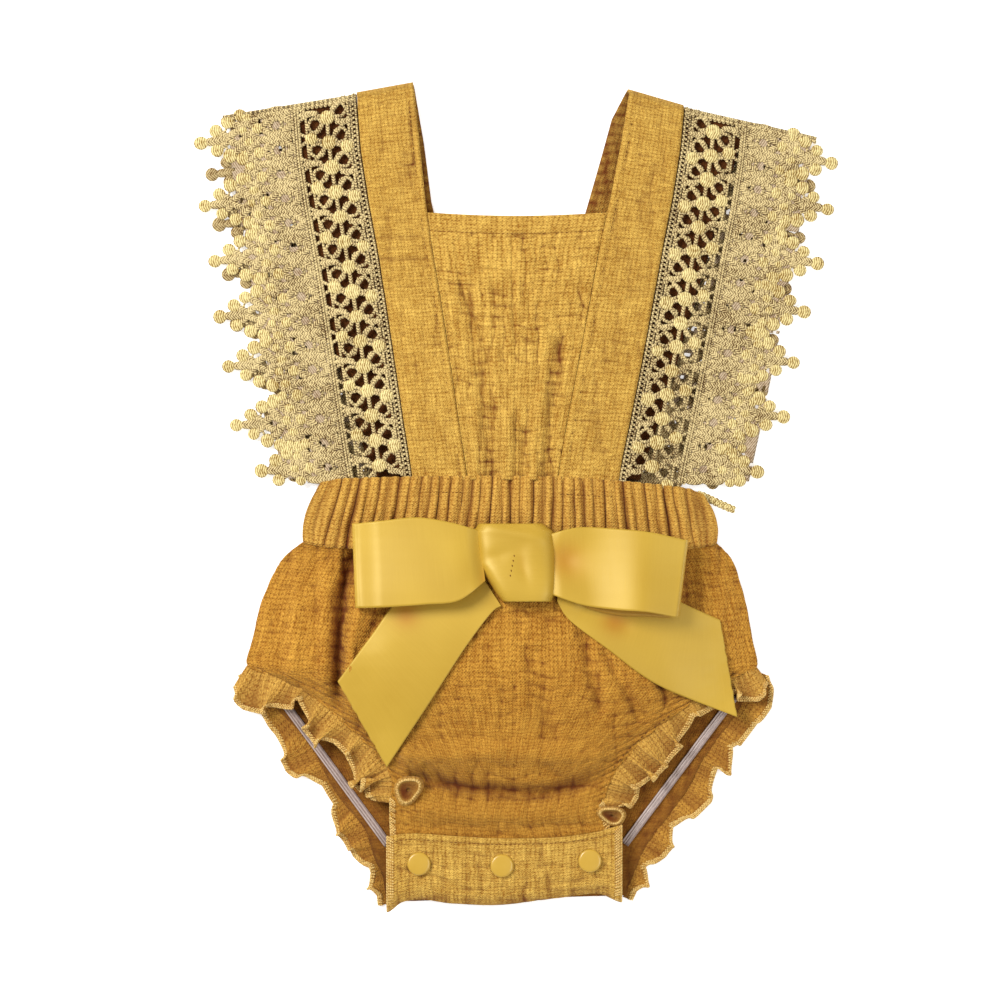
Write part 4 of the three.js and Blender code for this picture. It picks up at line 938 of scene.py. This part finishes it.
frills = {
    "thick": 0.8, "gap": 0.6, "front": (5, 12), "back": (3, 11), "stitch": 1.3,
    "front cut": (130.0, 12.0), "back cut": (140.0, 10.0),
    # place along the leg, width and rise of the free edge
    "leftFront": [(0, 11, 0.9), (0.07, 18, 2.2), (0.15, 17, 1.6), (0.23, 11, 0.6), (0.3, 4, 1.6),
                  (0.38, 12, -0.3), (0.47, 17, -1.0), (0.55, 9, 0.6), (0.63, 9, -0.2), (0.72, 18, -1.3),
                  (0.79, 18, -1.2), (0.86, 13, -0.6), (0.93, 11, -0.8), (1, 8, -0.6)],
    "rightFront": [(0, 8, 0.6), (0.08, 13, 1.6), (0.18, 6, 0.8), (0.28, 8, 0), (0.4, 5, 0),
                   (0.5, 12, -0.6), (0.58, 15, -1.0), (0.66, 16, -1.1), (0.74, 16, -1.1),
                   (0.82, 10, -0.6), (0.92, 14, -1.0), (1, 8, -0.6)],
    "leftBack": [(0, 5, 0.1), (0.1, 6, 0.1), (0.18, 8, 0.4), (0.25, 14.5, 1), (0.31, 15, 1.6),
                 (0.36, 10, 0.7), (0.42, 3, 0.6), (0.5, 3, 0.6), (0.57, 11.5, 1.5), (0.63, 10.5, 0.5),
                 (0.69, 9.5, 1.3), (0.74, 8, 0.5), (0.79, 3, 0.5), (0.84, 3.5, 0.6), (0.9, 7.5, 1.2),
                 (0.95, 3, 0.6), (1, 3, 0.3)],
    "rightBack": [(0, 6, 0.1), (0.08, 12, 0.3), (0.15, 9.5, 0.5), (0.22, 9.5, 0.9), (0.28, 7, 0.4),
                  (0.34, 14, 1.5), (0.39, 7, 0.4), (0.45, 8.5, 0.8), (0.52, 11.5, 1.6), (0.58, 8.5, 0.6),
                  (0.64, 4, 0.6), (0.69, 10, 1.4), (0.75, 9.5, 0.8), (0.8, 5, 0.6), (0.84, 3, 0.5),
                  (0.89, 8, 1.2), (0.95, 3, 0.6), (1, 2.5, 0.3)],
}


def overlock(name, rim, inner, pitch, thread, slant=2):
    # close slanted stitches over an edge, from its rim to a line just inside
    made = bmesh.new()
    travelled = 0.0
    lift = Vector((0, 0, 0.5))
    for k in range(len(rim) - 1):
        run = (rim[k + 1] - rim[k]).length
        while travelled < run:
            start = rim[k].lerp(rim[k + 1], travelled / run)
            ahead = inner[min(k + slant, len(inner) - 1)]
            reach = ahead + lift - start - lift * 0.5
            setPattern(made, beadShape, start + lift * 0.6 + reach * 0.45, reach, reach.length * 1.15, pitch * 0.8, 0.85)
            travelled += pitch
        travelled -= run
        if k % 2 == 0 and k + 2 < len(rim):
            addBar(made, rim[k] + lift * 0.3, rim[k + 2] + lift * 0.3, 0.5)
    return finishPiece(name, made, thread)


def makeFrill(name, node, table, lines, rows, side, seamHeight, waves, tall, slide, cloth, seed, rise=1.0):
    first, last = rows
    onTop = rise == 1.0

    def seam(s):
        return panelPoint(lines, mix(first, last, clamp(s)), 0 if side > 0 else 1)

    def place(u, v):
        x, y = seam(u)
        (ax, ay), (bx, by) = seam(u - 0.04), seam(u + 0.04)
        run = Vector((bx - ax, by - ay)).normalized()
        outX, outY = side * run.y, -side * run.x
        reach, lift = lookup(table, u, 1), lookup(table, u, 2) * rise
        loose = clamp(reach / 9) * clamp(14 * min(u, 1 - u) + 0.25)
        phase = 2 * pi * (waves * u + 0.45 * noise.noise((u * 7, seed, 0.0)))
        wave = sin(phase)
        back = slide * loose * cos(phase) * v * v
        out = frills["gap"] * v + (reach + 1.2) * v - 1.2
        pleatIn = 0.7 * (1 - v) * (gathered(u * 160, 4.6, seed) - 0.5) * clamp(v * 8 + 0.3)
        ruffle = wave if onTop else wave * 0.5 + 0.5
        z = seamHeight(x, y) - 0.35 * (1 - v) + lift * v * v + tall * loose * ruffle * v ** 1.2
        z += pleatIn + 0.14 * noise.noise((x * 0.4, y * 0.4, seed))
        # painted shade: a little over the front frills, more near the seam on the back ones, and in the troughs of the
        # waves and pleats
        inner = 0.12 if onTop else 0.4 * (1 - v)
        depth = inner - 0.6 * wave * v * loose - 0.6 * pleatIn
        return x + outX * out + run.x * back, y + outY * out + run.y * back, max(z, 0.46), depth

    cut = frills["front cut" if onTop else "back cut"]
    piece = finishPiece(name, newSheet(340, 14, cut, place), cloth, [node], frills["thick"])
    rim = [Vector(place(k / 200, 1.0)[:3]) for k in range(201)]
    inner = [Vector(place(k / 200, 1 - 1.7 / max(lookup(table, k / 200, 1), 3.5))[:3]) for k in range(201)]
    stitches = overlock(name + "_overlock", rim, inner, frills["stitch"], sewingThread)
    return piece


def lowSeam(x, y):
    return 0.55


makeFrill("frill_front_left", "leg_frill_front_left", frills["leftFront"], frontLines, frills["front"], 1,
          frontHeight, 8.5, 2.8, 3.2, frillCloth, 3.0)
makeFrill("frill_front_right", "leg_frill_front_right", frills["rightFront"], frontLines, frills["front"], -1,
          frontHeight, 8.5, 2.8, 3.2, frillCloth, 9.0)
makeFrill("frill_back_left", "leg_frill_back_left", frills["leftBack"], backLines, frills["back"], 1,
          lowSeam, 9.0, 2.6, 2.2, shadedBackFrillCloth, 15.0, rise=0.98)
makeFrill("frill_back_right", "leg_frill_back_right", frills["rightBack"], backLines, frills["back"], -1,
          lowSeam, 9.0, 2.6, 2.2, shadedBackFrillCloth, 21.0, rise=0.98)
print("frills made")


# Overlocked sides of the bloomers' front between the frills and the crotch band
for end, way, sideName in ((0.0, 1, "left"), (1.0, -1, "right")):
    rim = [Vector(frontPlace(end, mix(0.845, 0.965, k / 24))[:3]) + Vector((0, 0, 0.2)) for k in range(25)]
    inner = [Vector(frontPlace(end + way * 0.025, mix(0.845, 0.965, k / 24))[:3]) + Vector((0, 0, 0.2))
             for k in range(25)]
    overlock("bloomers_front_overlock_" + sideName, rim, inner, frills["stitch"], sewingThread)


# The front frills' lower ends, curled round so that the hollow shows
curls = {
    # middle x and y, half width and half height, how far it leans
    "frill_curl_left": (-49.2, -134.8, 4.9, 5.2, 0.2),
    "frill_curl_right": (44.6, -146.6, 4.9, 3.4, -0.3),
    "tall": 3.6, "cut": (34.0, 10.0),
}
for curlName in ("frill_curl_left", "frill_curl_right"):
    curlX, curlY, halfWide, halfHigh, lean = curls[curlName]

    def curlPlace(u, v):
        # up the outside to the rim at 0.55, then down into the hollow
        turn = 2 * pi * u + 0.6
        wave = 1 + 0.1 * sin(3 * turn)
        if v < 0.55:
            t = v / 0.55
            spread, high = mix(1.3, 1.02, t) * wave, curls["tall"] * t ** 0.6
        else:
            t = (v - 0.55) / 0.45
            spread, high = mix(1.02, 0.12, t ** 1.6) * wave, mix(curls["tall"], 0.5, t)
        x = curlX + halfWide * spread * cos(turn) + lean * halfHigh * spread * sin(turn)
        y = curlY + halfHigh * spread * sin(turn)
        lip = 0.8 + 0.2 * sin(turn + 1)
        # painted shade inside the curl's hollow
        return x, y, max(frontHeight(x, y), 1.2) + high * lip, (0.8 - 0.2 * cos(turn - 0.6)) * ease((v - 0.6) / 0.2)

    curl = finishPiece(curlName, newSheet(64, 16, curls["cut"], curlPlace), frillCloth, (), 0.7)
    rim = [Vector(curlPlace(k / 64, 0.58)[:3]) for k in range(65)]
    inner = [Vector(curlPlace(k / 64, 0.3)[:3]) for k in range(65)]
    overlock(curlName + "_overlock", rim, inner, frills["stitch"], sewingThread)
print("curled ends made")


# Clear elastic tapes along the back of each leg

tapes = {
    "wide": 3.6, "thick": 0.75, "height": 1.95,
    "runs": [("elastic_left", (-106.5, -95.0), (-58.5, -160.5)), ("elastic_right", (101.5, -92.0), (50.6, -160.1))],
}
for tapeNode, (fromX, fromY), (toX, toY) in tapes["runs"]:
    long = hypot(toX - fromX, toY - fromY)
    alongX, alongY = (toX - fromX) / long, (toY - fromY) / long

    def tapePlace(u, v):
        off = (u - 0.5) * tapes["wide"]
        down = v * long
        rib = 0.16 * abs(sin(pi * u * 4)) ** 0.6
        return (fromX + alongX * down - alongY * off, fromY + alongY * down + alongX * off,
                tapes["height"] - 0.1 + rib + 0.12 * sin(down * 0.11) * (u - 0.5), 0.0)
    finishPiece(tapeNode + "_tape", newSheet(16, 60, (tapes["wide"], long), tapePlace), clearElastic,
                [tapeNode], tapes["thick"] - 0.15)


# Crotch band with its snap caps

crotch = {
    "cut": (110.0, 40.0), "thick": 1.4, "least": 2.5,
    # x, top y, bottom y
    "lines": [(-58.8, -156.2, -191.2), (-52.5, -155.2, -186.6), (-44, -155, -185.2), (-30, -156, -187),
              (-7, -157.2, -187.7), (21, -156.6, -184.4), (39, -154, -182.6), (49, -151, -186.6)],
    "drop": [(0, 2.1), (0.3, 2.1), (0.62, 2.1), (0.84, 1.4), (0.95, -0.6), (1, -2.2)],
    "creases": [([(-20.0, -160.0), (-14.0, -184.0)], -0.35, 1.2), ([(12.0, -160.0), (16.0, -182.0)], -0.35, 1.0),
                ([(-34.0, -176.0), (-20.0, -181.0)], -0.4, 1.4), ([(6.0, -178.0), (30.0, -177.0)], -0.4, 1.4),
                ([(-56.0, -172.0), (-49.0, -172.0)], -0.4, 1.6)],
    "caps": [("snap_cap_1", -44.2, -168.8), ("snap_cap_2", -6.0, -169.7), ("snap_cap_3", 34.5, -167.4)],
    "cap radius": 5.35, "cap rise": 2.1,
}


def crotchPlace(u, v):
    x = mix(crotch["lines"][0][0], crotch["lines"][-1][0], u)
    before = max(k for k in range(len(crotch["lines"]) - 1) if crotch["lines"][k][0] <= x + 1e-9)
    along = before + (x - crotch["lines"][before][0]) / (crotch["lines"][before + 1][0] - crotch["lines"][before][0])
    y = mix(smooth(crotch["lines"], along, 1), smooth(crotch["lines"], along, 2), v)
    past = next(k for k in range(1, len(crotch["drop"])) if crotch["drop"][k][0] >= v - 1e-9)
    start, end = crotch["drop"][past - 1][0], crotch["drop"][past][0]
    rise = smooth(crotch["drop"], past - 1 + (v - start) / (end - start), 1)
    rim = exp(-(v * 35 / 1.5) ** 2)
    line = exp(-((v * 35 - 3.2) / 0.5) ** 2)
    folds = foldRise(crotch["creases"], x, y)
    puff = crinkle(x, y, 61.0, across=5.4, down=5.0) * (1 - 0.8 * exp(-(v * 35 / 3) ** 2))
    z = max(frontHeight(x, y) + rise, crotch["least"]) + 0.7 * puff + folds - 0.25 * line - 0.2 * rim
    # painted shade in the creases, the crinkle's hollows, the stitch line's groove and towards the folded lower edge
    return x, y, z, -0.7 * folds - 0.8 * puff + 0.35 * line + 0.35 * ease((v - 0.84) / 0.16)


crotchCloth = finishPiece("crotch_band_cloth", newSheet(170, 56, crotch["cut"], crotchPlace), bibCloth,
                          ["crotch_band"], crotch["thick"])
for end, way in ((0.0, 1), (1.0, -1)):
    rim = [Vector(crotchPlace(end, k / 56)[:3]) + Vector((0, 0, 0.4)) for k in range(57)]
    inner = [Vector(crotchPlace(end + way * 0.03, k / 56)[:3]) + Vector((0, 0, 0.4)) for k in range(57)]
    overlock("crotch_band_overlock_" + ("left" if way > 0 else "right"), rim, inner, 1.35,
                          sewingThread, slant=4)

for capNode, capX, capY in crotch["caps"]:
    cap = bmesh.new()
    capWeave = cap.loops.layers.uv.new("weave")
    wide, tall = crotch["cap radius"], crotch["cap rise"]
    bottom = frontHeight(capX, capY) + crotch["drop"][0][1] + 0.9 + 0.1
    profile = [(0, 0), (wide - 0.6, 0), (wide - 0.1, 0.25), (wide, 0.65), (wide - 0.12, 1.05), (wide - 0.45, 1.35),
               (wide - 0.8, 1.5), (wide - 1.3, 1.58), (wide - 3.0, 1.64), (1.2, 1.68), (0, 1.69)]
    ring = [cap.verts.new(Vector((r, 0, h)) * mm) for r, h in profile]
    edges = [cap.edges.new(pair) for pair in zip(ring, ring[1:])]
    bmesh.ops.spin(cap, geom=ring + edges, cent=(0, 0, 0), axis=(0, 0, 1), angle=2 * pi, steps=40, use_merge=True)
    bmesh.ops.remove_doubles(cap, verts=cap.verts, dist=1e-6)
    bmesh.ops.recalc_face_normals(cap, faces=cap.faces)
    bmesh.ops.translate(cap, verts=cap.verts, vec=Vector((capX, capY, bottom)) * mm)
    finishPiece(capNode + "_plastic", cap, capPlastic, [capNode])
print("crotch band made")


# Satin bow: tails, loops folded back on themselves, and the knot

bow = {
    "thick": 0.8, "ribbon": 38.0, "loop cut": 125.0, "tail cut": 88.0, "knot cut": 40.0, "puff": 1.2,
    # top x and y, low x and y, from the knot outwards
    "leftLoop": [(-16.4, -15.4, -13.6, -38.5), (-30, -11.6, -26, -47.5), (-45, -9.4, -41, -49.2),
                 (-60, -10.8, -58, -50.4), (-72.6, -12.2, -71.0, -50.9)],
    "rightLoop": [(16.2, -17, 16.2, -44.5), (29, -14, 31, -49.5), (46, -14.6, 46, -51.6),
                  (62, -16.2, 60, -52.6), (77.4, -19.6, 72.8, -55)],
    "leftTail": [(-18.6, -31, -6.4, -50), (-34, -31, -11.2, -53.5), (-52, -44.8, -22.5, -68.6),
                 (-66, -63.8, -38, -92.5), (-81.4, -84.6, -58.9, -124.2)],
    "rightTail": [(19.6, -25, 19.4, -48), (34, -28, 25, -56.5), (54, -37, 42, -69.4),
                  (75.9, -48.3, 66, -86.5), (94.3, -56.6, 102.2, -101.2)],
    # y, left x, right x
    "knot": [(-12.4, -16.5, 12.5), (-16, -18.8, 17.4), (-24, -17.6, 18.4), (-31, -16.6, 18.4),
             (-38, -12.4, 18.4), (-44, -8.6, 18), (-47.8, -5.6, 16.4)],
    "knot rise": 9.5, "gap": 2.8,
}


def softHeight(x, y):
    # the front's height without its creases and corners, for what is laid over it
    return sum(frontHeight(x + dx, y + dy) for dx in (-5, 5) for dy in (-12, -6, 0, 6, 12)) / 10


tailSeat = 0.9 + 0.7 + seamGap + 0.5
loopSeat = tailSeat + 1 + seamGap + 0.2
loopTop = loopSeat + bow["gap"] + 1


def ribbonPoint(table, row, u):
    topX, topY, lowX, lowY = (smooth(table, row, column) for column in range(4))
    return mix(topX, lowX, u), mix(topY, lowY, u)


def makeLoop(name, node, table, swell, opening=0.0):
    last = len(table) - 1
    way = 1 if table[last][0] > 0 else -1
    cut = (bow["ribbon"], bow["loop cut"])
    under, turn, over = 30, 14, 60
    total = under + turn + over
    radius = (loopTop - loopSeat) / 2

    def place(u, v):
        row = v * total
        if row <= under:
            t = row / under
            x, y = ribbonPoint(table, last * t, u)
            y -= opening * sin(pi * clamp((t - 0.25) / 0.72)) ** 0.6 * u ** 3
            # painted shade on the loop's under layer, more where the loop opens
            return x, y, softHeight(x, y) + loopSeat, 0.25 + 0.2 * min(opening, 1)
        if row <= under + turn:
            angle = pi * ((row - under) / turn - 0.5)
            x, y = ribbonPoint(table, last, u)
            high = radius + swell(1.0, u)[0] / 2
            # painted shade on the fold's lower half
            return (x + way * radius * cos(angle), y, softHeight(x, y) + loopSeat + high + high * sin(angle),
                    0.25 * (0.5 - 0.5 * sin(angle)))
        t = 1 - (row - under - turn) / over
        x, y = ribbonPoint(table, last * t, u)
        high, depth = swell(t, u)
        return x, y, softHeight(x, y) + loopTop + high, depth

    piece = finishPiece(name, newSheet(40, total, cut, place), bowSatin, [node],
                        bow["thick"])


def swellLeft(t, u):
    # t runs from the knot to the fold, u from the top edge to the low one
    high = 3.0 * (1 - ease((t - 0.79) / 0.2)) + bow["puff"] * sin(pi * clamp(t)) * sin(pi * u) * 0.6
    high += 0.5 * sin(3.4 * t + 2.0 * u) * (1 - t) - 3.0 * (1 - ease(t / 0.14))
    high -= 1.3 * exp(-((t - 0.06) / 0.10) ** 2) * sin(pi * u)
    # painted shade near the knot at the low edge
    return high, 0.4 * exp(-((t - 0.02) / 0.05) ** 2) * exp(-((u - 0.95) / 0.2) ** 2)


def swellRight(t, u):
    high = 8.0 * ease((t - 0.26) / 0.48) * (1 - ease((t - 0.74) / 0.26) * 0.3) * (0.9 + 0.1 * u)
    high -= 1.8 * exp(-((t - 0.14) / 0.12) ** 2) * exp(-((u - 0.42) / 0.24) ** 2) + 1.4 * (1 - ease(t / 0.12))
    high += 0.8 * exp(-((t - 0.2) / 0.16) ** 2) * exp(-((u - 0.05) / 0.2) ** 2)
    # painted shade in the dent beside the knot
    return high, 0.6 * exp(-((t - 0.14) / 0.14) ** 2) * exp(-((u - 0.42) / 0.24) ** 2)


makeLoop("bow_loop_left_ribbon", "bow_loop_left", bow["leftLoop"], swellLeft)
makeLoop("bow_loop_right_ribbon", "bow_loop_right", bow["rightLoop"], swellRight, 2.6)


def makeTail(name, node, table, dents):
    cut = (bow["ribbon"], bow["tail cut"])

    def place(u, v):
        x, y = ribbonPoint(table, v * (len(table) - 1), u)
        jag = 0.35 * noise.noise((u * 14, 3.0, v)) * clamp((v - 0.9) * 10)
        z = softHeight(x, y) + tailSeat + 0.25 * sin(9 * v) * v + foldRise(dents, x, y)
        depth = sum(0.7 * exp(-(hypot(x - dx, y - dy) / wide) ** 2) for dx, dy, wide in bow["tail shade"])
        return x + jag, y + jag, z, depth

    piece = finishPiece(name, newSheet(50, 100, cut, place), bowSatin, [node],
                        bow["thick"])


bow["tail shade"] = [(46.0, -57.0, 6.0), (-50.0, -54.0, 6.0)]
makeTail("bow_tail_left_ribbon", "bow_tail_left", bow["leftTail"],
         [([(-60.0, -72.0), (-48.0, -96.0)], 0.8, 9.0), ([(-70.0, -86.0), (-62.0, -106.0)], -0.5, 7.0)])
makeTail("bow_tail_right_ribbon", "bow_tail_right", bow["rightTail"],
         [([(32.0, -52.0), (50.0, -58.0)], -0.9, 5.0), ([(62.0, -52.0), (74.0, -84.0)], 0.8, 9.0),
          ([(88.0, -62.0), (96.0, -92.0)], -0.6, 6.0)])


def knotPlace(u, v):
    y = mix(bow["knot"][0][0], bow["knot"][-1][0], v)
    x = mix(lookup(bow["knot"], y, 1), lookup(bow["knot"], y, 2), u)
    a, b = 2 * u - 1, 2 * v - 1
    full = (max(1 - a ** 6, 0) ** 0.5) * (1 - 0.22 * b ** 4)
    z = softHeight(x, y) + tailSeat - 0.5 + max((bow["knot rise"] - 0.6) * full, 1.2)
    topFold = 0.9 * exp(-((v - 0.10 - 0.10 * a) / 0.09) ** 2) * (1 - a ** 4)
    slant = -0.9 * exp(-((v - 0.34 + 0.16 * a) / 0.10) ** 2) * (1 - a ** 4) * clamp(0.5 - 1.2 * a)
    pinch = -0.7 * exp(-((u - 0.56) / 0.09) ** 2) * exp(-((v - 0.55) / 0.2) ** 2)
    left = -1.2 * exp(-((u + 0.02) / 0.08) ** 2) * ease((v - 0.6) / 0.3)
    # painted shade in the pinch and along the left edge
    depth = (0.12 * exp(-((u - 0.56) / 0.06) ** 2) * exp(-((v - 0.5) / 0.15) ** 2)
             + 0.5 * exp(-(u / 0.04) ** 2) * ease((v - 0.55) / 0.2))
    return x, y, z + topFold + slant + pinch + left, depth


knot = newSheet(60, 60, (bow["ribbon"], bow["knot cut"]), knotPlace)
knotCloth = finishPiece("bow_knot_ribbon", knot, bowSatin, ["bow_knot"], bow["thick"])
print("bow made")


# Sewing that shows: lines of stitches on the straps, the bib's hem, the waist and the knot

def stitchLine(made, points, pitch, long, radius, lift):
    # points are x, y and height; each stitch is a short thread sunk at both ends
    travelled = 0.3
    for a, b in zip(points, points[1:]):
        run = (b - a).length
        while travelled < run:
            here = a.lerp(b, travelled / run)
            ahead = (b - a).normalized()
            setPattern(made, beadShape, here + Vector((0, 0, lift)), ahead, long, radius * 2, radius * 1.6)
            travelled += pitch
        travelled -= run


sewing = {"pitch": 2.1, "long": 1.5, "thread": 0.24}
seams = bmesh.new()
for table in (leftStrapFront, rightStrapFront):
    line = []
    for k in range(60):
        x, y = rowPoint(table, k / 59 * (len(table) - 1), straps["welt"] - 0.012)
        line.append(Vector((x, y, torsoHeight(x, y) + 0.5)))
    stitchLine(seams, line, sewing["pitch"], sewing["long"], sewing["thread"], 0.0)
hemRow = [Vector(bibPlace(k / 40, 8.4 / 122)[:3]) for k in range(41)]
stitchLine(seams, hemRow, sewing["pitch"], sewing["long"], sewing["thread"], 0.5)
for start, end, v in ((0.29, 0.375, 0.2), (0.625, 0.76, 0.22)):
    row = [Vector(bandPlace(mix(start, end, k / 40), v)[:3]) for k in range(41)]
    stitchLine(seams, row, 1.9, 1.4, 0.26, 0.6)
legRow = [Vector(frontPlace(0.972, mix(0.57, 0.75, k / 40))[:3]) for k in range(41)]
stitchLine(seams, legRow, 2.6, 1.5, 0.36, 0.5)
bandRow = [Vector(crotchPlace(k / 80, 3.2 / 35)[:3]) for k in range(81)]
stitchLine(seams, bandRow, sewing["pitch"], sewing["long"], sewing["thread"], 0.72)
finishPiece("stitch_lines", seams, darkThread)
knotSeam = bmesh.new()
for k in range(5):
    x, y = mix(-0.4, -2.2, k / 4), mix(-27.0, -36.0, k / 4)
    u = (x - lookup(bow["knot"], y, 1)) / (lookup(bow["knot"], y, 2) - lookup(bow["knot"], y, 1))
    v = (y - bow["knot"][0][0]) / (bow["knot"][-1][0] - bow["knot"][0][0])
    spot = Vector(knotPlace(u, v)[:3])
    setPattern(knotSeam, beadShape, spot + Vector((0, 0, 0.42)), Vector((0.25, -1, 0)), 1.1, 0.6, 0.4)
finishPiece("knot_stitches", knotSeam, darkThread)
print("sewing made")


# Floor, light and camera

studio = {"floor": 1.6, "world": 0.45, "key": 47.5, "fill": 14.0, "glow": 0.5}
ground = bmesh.new()
bmesh.ops.create_grid(ground, x_segments=8, y_segments=8, size=studio["floor"])
floorMesh = bpy.data.meshes.new("floor")
ground.to_mesh(floorMesh)
ground.free()
floor = bpy.data.objects.new("floor", floorMesh)
bpy.context.scene.collection.objects.link(floor)
for vert in floorMesh.vertices:
    vert.co.z = -0.1 * mm
paper, paperStart, paperShader = newMaterial("white paper", 0.9, Specular_IOR_Level=0.1,
                                            Emission_Color=(1, 1, 1, 1), Emission_Strength=studio["glow"])
paperCloud = paperStart.node("ShaderNodeTexCoord", output=3).grain(30.0)
connect(paperStart, paperShader, Base_Color=paperCloud.between((0.90, 0.90, 0.90, 1), (0.92, 0.92, 0.92, 1)))
floorMesh.materials.append(paper)


def softLight(name, place, aim, size, power, tint=(1, 1, 1)):
    data = bpy.data.lights.new(name, "AREA")
    data.shape = "DISK"
    data.size = size
    data.energy = power
    data.color = tint
    light = bpy.data.objects.new(name, data)
    light.location = place
    light.rotation_euler = (Vector(aim) - Vector(place)).to_track_quat("-Z", "Y").to_euler()
    bpy.context.scene.collection.objects.link(light)


softLight("key", (-1.25, 0.85, 1.55), (0, 0, 0), 1.1, studio["key"])
softLight("fill", (1.2, -0.4, 1.5), (0, 0, 0), 1.4, studio["fill"])
world = bpy.data.worlds.new("studio")
world.use_nodes = True
world.node_tree.nodes["Background"].inputs["Color"].default_value = (1, 1, 1, 1)
world.node_tree.nodes["Background"].inputs["Strength"].default_value = studio["world"]
bpy.context.scene.world = world
bpy.context.scene.view_settings.view_transform = "Standard"

lens = bpy.data.cameras.new("camera")
lens.lens = 200
lens.sensor_width = 36
lens.clip_end = 10
camera = bpy.data.objects.new("camera", lens)
camera.location = (-6.9 * mm, -1.4 * mm, 2.5656)
bpy.context.scene.collection.objects.link(camera)
bpy.context.scene.camera = camera
print("studio made")
